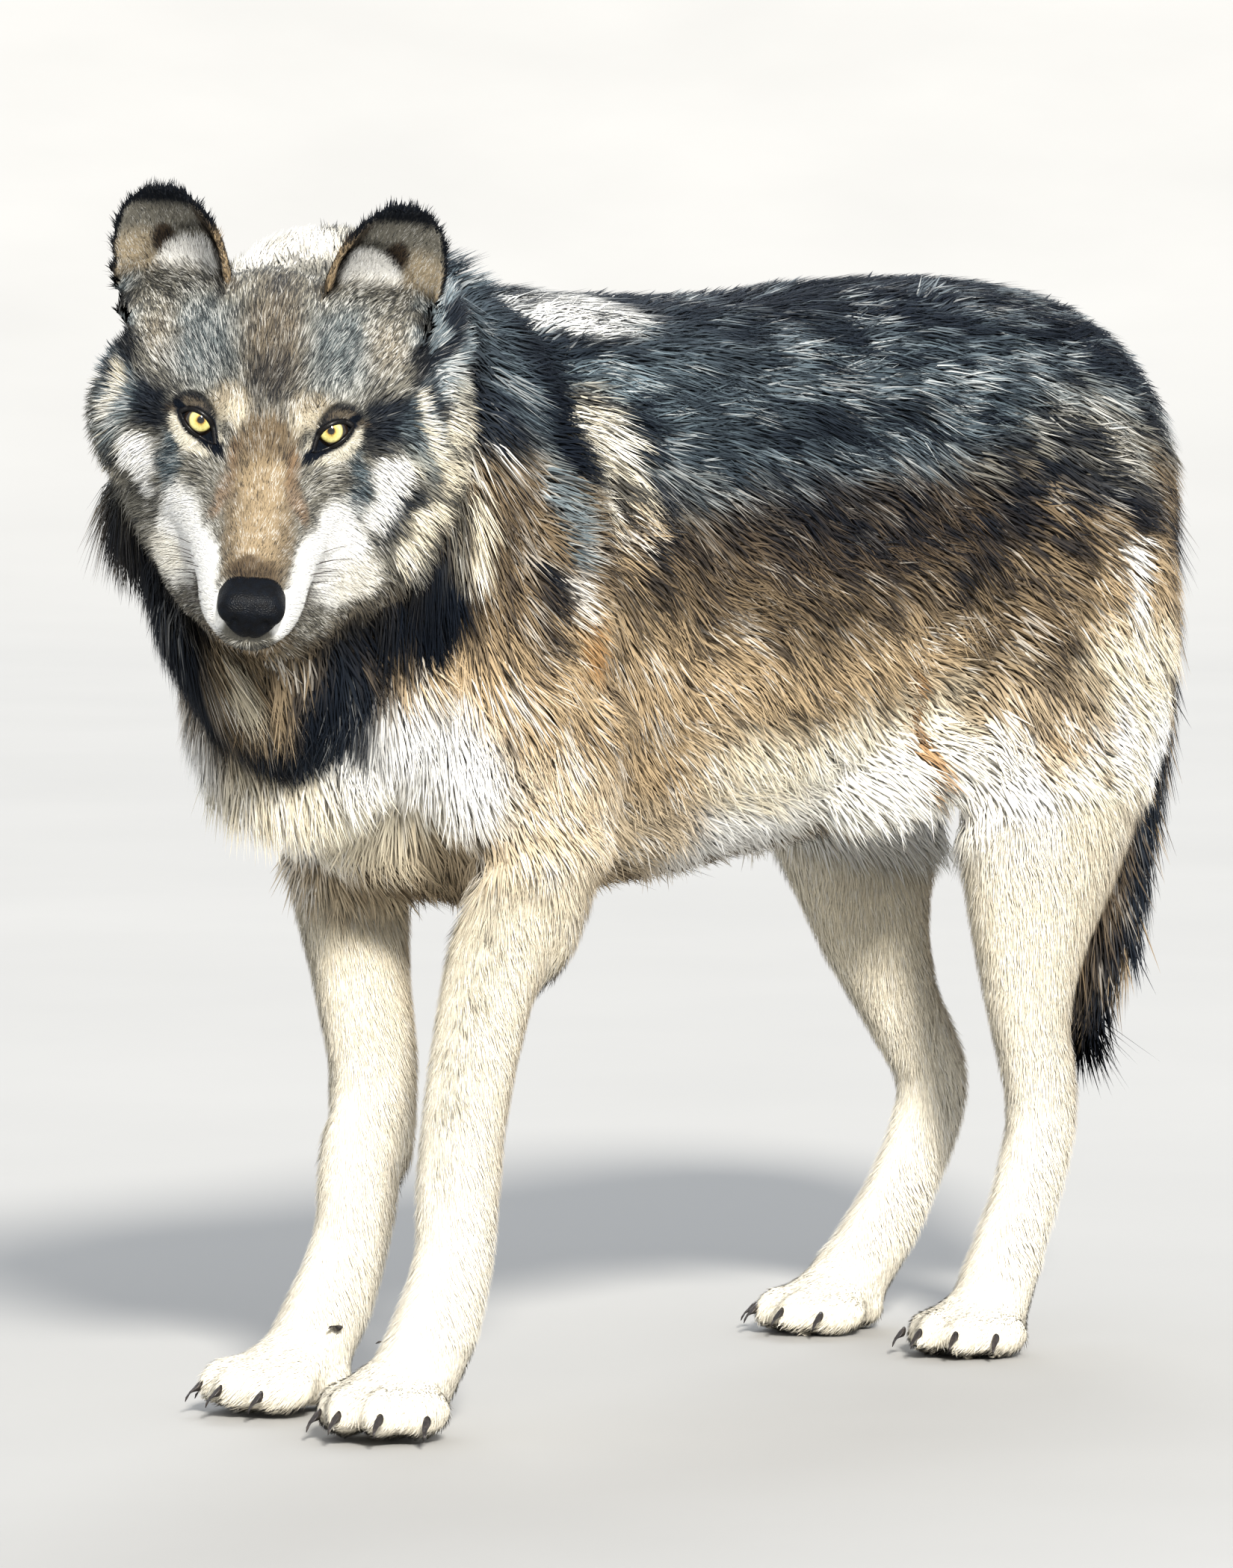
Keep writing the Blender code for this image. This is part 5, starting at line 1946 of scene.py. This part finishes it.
@dataclass
class Eyes:
    """Two eyeballs, each with a bulging cornea."""

    stance: Stance
    bulge: float = 0.0011

    def build(self) -> list[Thing]:
        """Makes both eyeballs."""
        gaze = self.stance.head.turn_out(np.array([self.stance.gaze]))[0]
        made = []
        for side, word in ((1, "left"), (-1, "right")):
            middle = self.stance.eye_middle(side)
            sizes = {"segments": 48, "ring_count": 32, "radius": self.stance.eye_radius, "location": tuple(middle)}
            obj = name_it(start(bpy.ops.mesh.primitive_uv_sphere_add, **sizes), f"eyeball_{word}")
            bpy.ops.object.transform_apply(location=True, rotation=True, scale=True)
            points = read(obj) - middle
            aimed = np.arccos(np.clip(unit(points) @ gaze, -1, 1))
            points *= (1 + self.bulge / self.stance.eye_radius * np.exp(-((aimed / 0.5) ** 2)))[:, None]
            move(obj, points + middle)
            finish = EyeFinish(f"eye_{word}", tuple(middle), tuple(gaze))
            made.append(dress(obj, finish.make(), "eye", f"eye_{word}"))
        return made


@dataclass
class Lids:
    """Black edges of the eyelids, a ring for each eye."""

    stance: Stance
    edge: float = 0.001
    upper: float = 1.5
    sides: int = 12
    round: int = 96

    def build(self) -> Thing:
        """Makes both pairs of lids as one piece."""
        obj = merge([self.ring(side) for side in SIDES], "eyelids")
        with editing(obj):
            bpy.ops.mesh.normals_make_consistent(inside=False)
        finish = LeatherFinish("eyelid", (0.002, 0.002, 0.003), (0.005, 0.004, 0.004), 0.38, 900, 0.0001, 0.2, 0.25)
        return dress(obj, finish.make(), "head")

    def ring(self, side: int) -> Thing:
        """One pair of lids, bent from a torus."""
        sizes = {"major_segments": self.round, "minor_segments": self.sides, "major_radius": 1, "minor_radius": 0.25}
        obj = start(bpy.ops.mesh.primitive_torus_add, **sizes)
        points = read(obj)
        turn = np.arctan2(points[:, 1], points[:, 0])
        out = (np.hypot(points[:, 0], points[:, 1]) - 1) / 0.25
        up = points[:, 2] / 0.25
        along, across = Almond().path(turn)
        nearby = Almond().path(turn + 0.02)
        way = unit(columns(nearby[0] - along, nearby[1] - across))
        thick = self.edge * np.where(np.sin(turn) > 0, self.upper, 1) * (1 + 0.25 * np.cos(turn) ** 6)
        bed = LidBed(self.stance.eye_radius).outside(along, across)
        local = columns(
            along + way[:, 1] * out * thick * 1.2,
            bed + (up * 0.7 - 0.45 * np.maximum(out, 0) - 0.1) * thick,
            across - way[:, 0] * out * thick * 1.2,
        )
        move(obj, self.stance.lids[side].out(local))
        return name_it(obj, f"lids_{side}")


@dataclass
class Nose:
    """Nose leather, with comma-shaped nostrils and a groove."""

    stance: Stance
    half_width: float = 0.0222
    half_depth: float = 0.0165
    half_height: float = 0.0158
    middle: Spot = (0, -0.127, -0.052)

    def build(self) -> Thing:
        """Makes the nose."""
        obj = start(bpy.ops.mesh.primitive_cube_add, size=2)
        with editing(obj):
            bpy.ops.mesh.subdivide(number_cuts=1)
        rounds = obj.modifiers.new("round", "SUBSURF")
        rounds.levels = rounds.render_levels = 4
        apply_all(obj)
        points = read(obj)
        points = points / np.abs(points).max(axis=0)
        move(obj, self.shape(points))
        name_it(obj, "nose_leather")
        # The faint blue in the leather's colour and its tint is a painted reflection of the sky; the near-black is the
        # leather's own.
        finish = LeatherFinish(
            "nose_leather", (0.0015, 0.002, 0.0035), (0.003, 0.005, 0.009), 0.44, 620, 0.0003, gloss=0.22
        )
        return dress(obj, finish.make(), "nose", "nose")

    def shape(self, points: Array) -> Array:
        """Carries the points of a round block to the nose.

        Args:
            points: From -1 to 1 on each axis.

        Returns:
            Their places on the wolf.
        """
        x, y, z = points.T
        wide = 1 - 0.62 * ease(-z, -0.25, 1.15) - 0.16 * ease(z, 0.15, 1)
        x = np.sign(x) * np.abs(x) ** 0.94 * wide * self.half_width
        lean = 0.005 * ease(z, -0.2, 1)
        y = y * self.half_depth + lean
        z = z * self.half_height
        front = ease(-points[:, 1], 0.1, 0.6)
        side = np.abs(x)
        hole = np.exp(-(((side - 0.0098) / 0.0042) ** 2 + ((z + 0.001) / 0.0044) ** 2))
        slit = np.exp(-(((side - 0.0165) / 0.0045) ** 2 + ((z + 0.0035 - 0.25 * (side - 0.0165)) / 0.002) ** 2))
        y = y + front * (0.0036 * hole + 0.0017 * slit)
        groove = np.exp(-((side / 0.0011) ** 2)) * ease(z, 0.006, -0.002)
        y = y + front * 0.0018 * groove
        rim = np.exp(-(((side - 0.0098) / 0.0075) ** 2 + ((z - 0.006) / 0.004) ** 2))
        y = y - front * 0.001 * rim
        placed = columns(x, y, z) + np.array(self.middle)
        return self.stance.head.out(placed)


@dataclass
class Claws:
    """Curved claws and dewclaws, all copied from one."""

    stance: Stance
    length: float = 0.0165
    radius: float = 0.0036

    def build(self) -> Thing:
        """Makes all the claws as one piece."""
        pattern = self.pattern()
        made = []
        for foot in self.stance.feet.values():
            size = foot.size * self.stance.paw_length
            for side in SIDES:
                for x, y, z, out in ((0.145, -0.545, 0.185, 6), (0.375, -0.375, 0.165, 18)):
                    place = Matrix.Translation((side * x * size, y * size, z * size))
                    grow = place @ turned(out * side, "Z")
                    made.append(self.copy(pattern, self.stance.paw_matrix(foot) @ grow, foot.size))
        for x, y, out in ((0.0462, -0.274, -16), (-0.0402, -0.238, 16)):
            place = Matrix.Translation(Vector((x, y, 0.057)) + self.stance.shift)
            made.append(self.copy(pattern, place @ turned(out, "Z") @ turned(-50, "X"), 0.95))
        bpy.data.objects.remove(pattern)
        return dress(merge(made, "claws"), HornFinish().make(), "forepaw_left")

    def pattern(self) -> Thing:
        """One claw at the origin, growing towards -Y and bending down."""
        obj = start(bpy.ops.mesh.primitive_cylinder_add, vertices=14, radius=1, depth=1)
        with editing(obj):
            bpy.ops.mesh.subdivide(number_cuts=3)
        points = read(obj)
        part = np.clip(points[:, 2] + 0.5, 0, 1)
        slim = self.radius * (1 - 0.93 * part**1.5)
        turn = 0.25 + 1.05 * part
        y = -self.length * (np.sin(turn) - math.sin(0.25)) / 1.05
        z = self.length * (np.cos(turn) - math.cos(0.25)) / 1.05
        x = points[:, 0] * slim * 0.78
        rise = points[:, 1] * slim * 1.15
        shaped = columns(x, y + rise * np.sin(turn), z + rise * np.cos(turn))
        move(obj, shaped)
        with editing(obj):
            bpy.ops.mesh.remove_doubles(threshold=0.00002)
            bpy.ops.mesh.normals_make_consistent(inside=False)
        return name_it(obj, "claw_pattern")

    def copy(self, pattern: Thing, place: Matrix, size: float) -> Thing:
        """Copy of the claw, its tip held off the floor."""
        obj = stand("claw", pattern.data.copy())
        obj.data.transform(place @ Matrix.Scale(size, 4))
        points = read(obj)
        points[:, 2] += max(0.0006 - points[:, 2].min(), 0)
        move(obj, points)
        return obj


@dataclass
class Whiskers:
    """Stiff dark bristles on the lips, the chin and over the eyes."""

    stance: Stance
    skin: Skin
    seed: int = 5

    def build(self) -> Thing:
        """Makes the whiskers as one piece."""
        rng = np.random.default_rng(self.seed)
        pattern = start(bpy.ops.mesh.primitive_cone_add, vertices=5, radius1=1, radius2=0.08, depth=1)
        with editing(pattern):
            bpy.ops.mesh.subdivide(number_cuts=3)
        shape = read(pattern)
        made = [self.bristle(pattern, shape, row, rng) for row in self.places(rng)]
        bpy.data.objects.remove(pattern)
        return dress(merge(made, "whiskers"), HornFinish("whisker").make(), "head")

    def places(self, rng: Draws) -> list[tuple[Array, Spot, float]]:
        """Where each whisker grows in the head's frame, which way, and how long."""
        rows = []
        for side in SIDES:
            for row in range(4):
                for column in range(5):
                    at = np.array([side * 0.04, -0.108 + 0.013 * column, -0.058 - 0.0055 * row])
                    way = (side * (1 + 0.2 * row), 0.55 + 0.15 * column, -0.25 - 0.12 * row)
                    rows.append((at + rng.normal(0, 0.0012, 3), way, 0.02 + 0.006 * column))
            for k in range(3):
                at = np.array([side * (0.03 + 0.006 * k), -0.004, 0.026])
                rows.append((at, (side * 0.4, -0.3, 0.9), 0.018))
        return rows

    def bristle(
        self, pattern: Thing, shape: Array, row: tuple[Array, Spot, float], rng: Draws
    ) -> Thing:
        """One whisker, set on the skin and bent a little downwards."""
        at, way, length = row
        near = lengths(self.skin.points - self.stance.head.out(at[None])[0]).argmin()
        start = self.skin.points[near]
        way = unit(self.stance.head.turn_out(unit(np.array([way]) + rng.normal(0, 0.08, (1, 3)))))[0]
        side = np.cross(way, [0, 0, 1])
        side /= np.linalg.norm(side)
        top = np.cross(side, way)
        part = shape[:, 2] + 0.5
        points = start + np.outer(part * length, way) + np.outer(shape[:, 0] * 0.00028, side)
        points += np.outer(shape[:, 1] * 0.00028, top) - np.outer(0.16 * length * part**2, (0, 0, 1))
        obj = stand("whisker", pattern.data.copy())
        move(obj, points)
        return obj


# ---- studio


@dataclass(frozen=True)
class Lamp:
    """Broad far light, by the direction it comes from."""

    name: str
    azimuth: float
    elevation: float
    strength: float
    spread: float
    colour: Colour


@dataclass
class Studio:
    """Pale floor that rises all round, soft light, and the camera."""

    stance: Stance
    azimuth: float = 42
    distance: float = 6.8
    height: float = 0.9
    target: float = 0.418
    lens: float = 225.7
    flat: float = 9
    rim: float = 24
    rise: float = 5
    lamps: tuple[Lamp, ...] = (
        Lamp("key", 54, 33, 5, 10, (1, 0.965, 0.9)),
        Lamp("rim", 215, 40, 0.9, 25, (0.9, 0.95, 1)),
    )

    def build(self) -> None:
        """Makes the floor, the lights and the camera."""
        grid = start(bpy.ops.mesh.primitive_grid_add, x_subdivisions=120, y_subdivisions=120, size=2 * self.rim)
        floor = name_it(grid, "floor")
        points = read(floor)
        points[:, 2] = self.rise * ease(np.hypot(points[:, 0], points[:, 1]), self.flat, self.rim)
        move(floor, points)
        bpy.ops.object.shade_smooth()
        floor.data.materials.append(FloorFinish().make())
        for lamp in self.lamps:
            self.hang(lamp)
        self.sky()
        self.camera()

    def hang(self, lamp: Lamp) -> None:
        """Hangs one light."""
        data = bpy.data.lights.new(lamp.name, "SUN")
        data.energy, data.angle, data.color = lamp.strength, math.radians(lamp.spread), lamp.colour
        obj = stand(lamp.name, data)
        turn, tilt = math.radians(lamp.azimuth), math.radians(lamp.elevation)
        way = Vector((math.sin(turn) * math.cos(tilt), -math.cos(turn) * math.cos(tilt), math.sin(tilt)))
        obj.matrix_world = Matrix.Translation(way * 4) @ way.to_track_quat("Z", "Y").to_matrix().to_4x4()

    def sky(self) -> None:
        """Even pale light from all round."""
        world = bpy.data.worlds.new("studio")
        world.use_nodes = True
        back = world.node_tree.nodes["Background"]
        back.inputs["Color"].default_value = (0.9, 0.94, 1, 1)
        back.inputs["Strength"].default_value = 0.8
        bpy.context.scene.world = world

    def camera(self) -> None:
        """Sets up the camera and how its picture is toned."""
        data = bpy.data.cameras.new("camera")
        data.lens, data.sensor_width = self.lens, 36
        data.clip_end = 200
        obj = stand("camera", data)
        turn = math.radians(self.azimuth)
        at = Vector((math.sin(turn) * self.distance, -math.cos(turn) * self.distance, self.height))
        aim = Vector((0, 0, self.target)) - at
        at += self.stance.shift
        obj.matrix_world = Matrix.Translation(at) @ aim.to_track_quat("-Z", "Y").to_matrix().to_4x4()
        bpy.context.scene.camera = obj
        bpy.context.scene.view_settings.view_transform = "Standard"
        bpy.context.scene.view_settings.look = "Medium High Contrast"


# ---- the whole


def corners(box: tuple[Vector, Vector]) -> list[list[float]]:
    """Box as plain lists of numbers."""
    return [[round(float(value), 5) for value in corner] for corner in box]


def main() -> None:
    """Builds the wolf in order and reports each piece."""
    logging.basicConfig(level=logging.INFO, format="%(message)s")
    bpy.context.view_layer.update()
    deselect()
    stance = Stance()
    Studio(stance).build()
    markings = Markings(stance)
    skin = Skin(stance, markings)
    LOG.info("skin: %d faces", len(skin.build().data.polygons))
    coat = Coat(stance, skin, markings, 1)
    coat.build()
    for eye in Eyes(stance).build():
        LOG.info("%s is set", eye.name)
    for piece in (Lids(stance), Nose(stance), Claws(stance), Whiskers(stance, skin)):
        LOG.info("%s is made", piece.build().name)


if __name__ == "__main__":
    main()
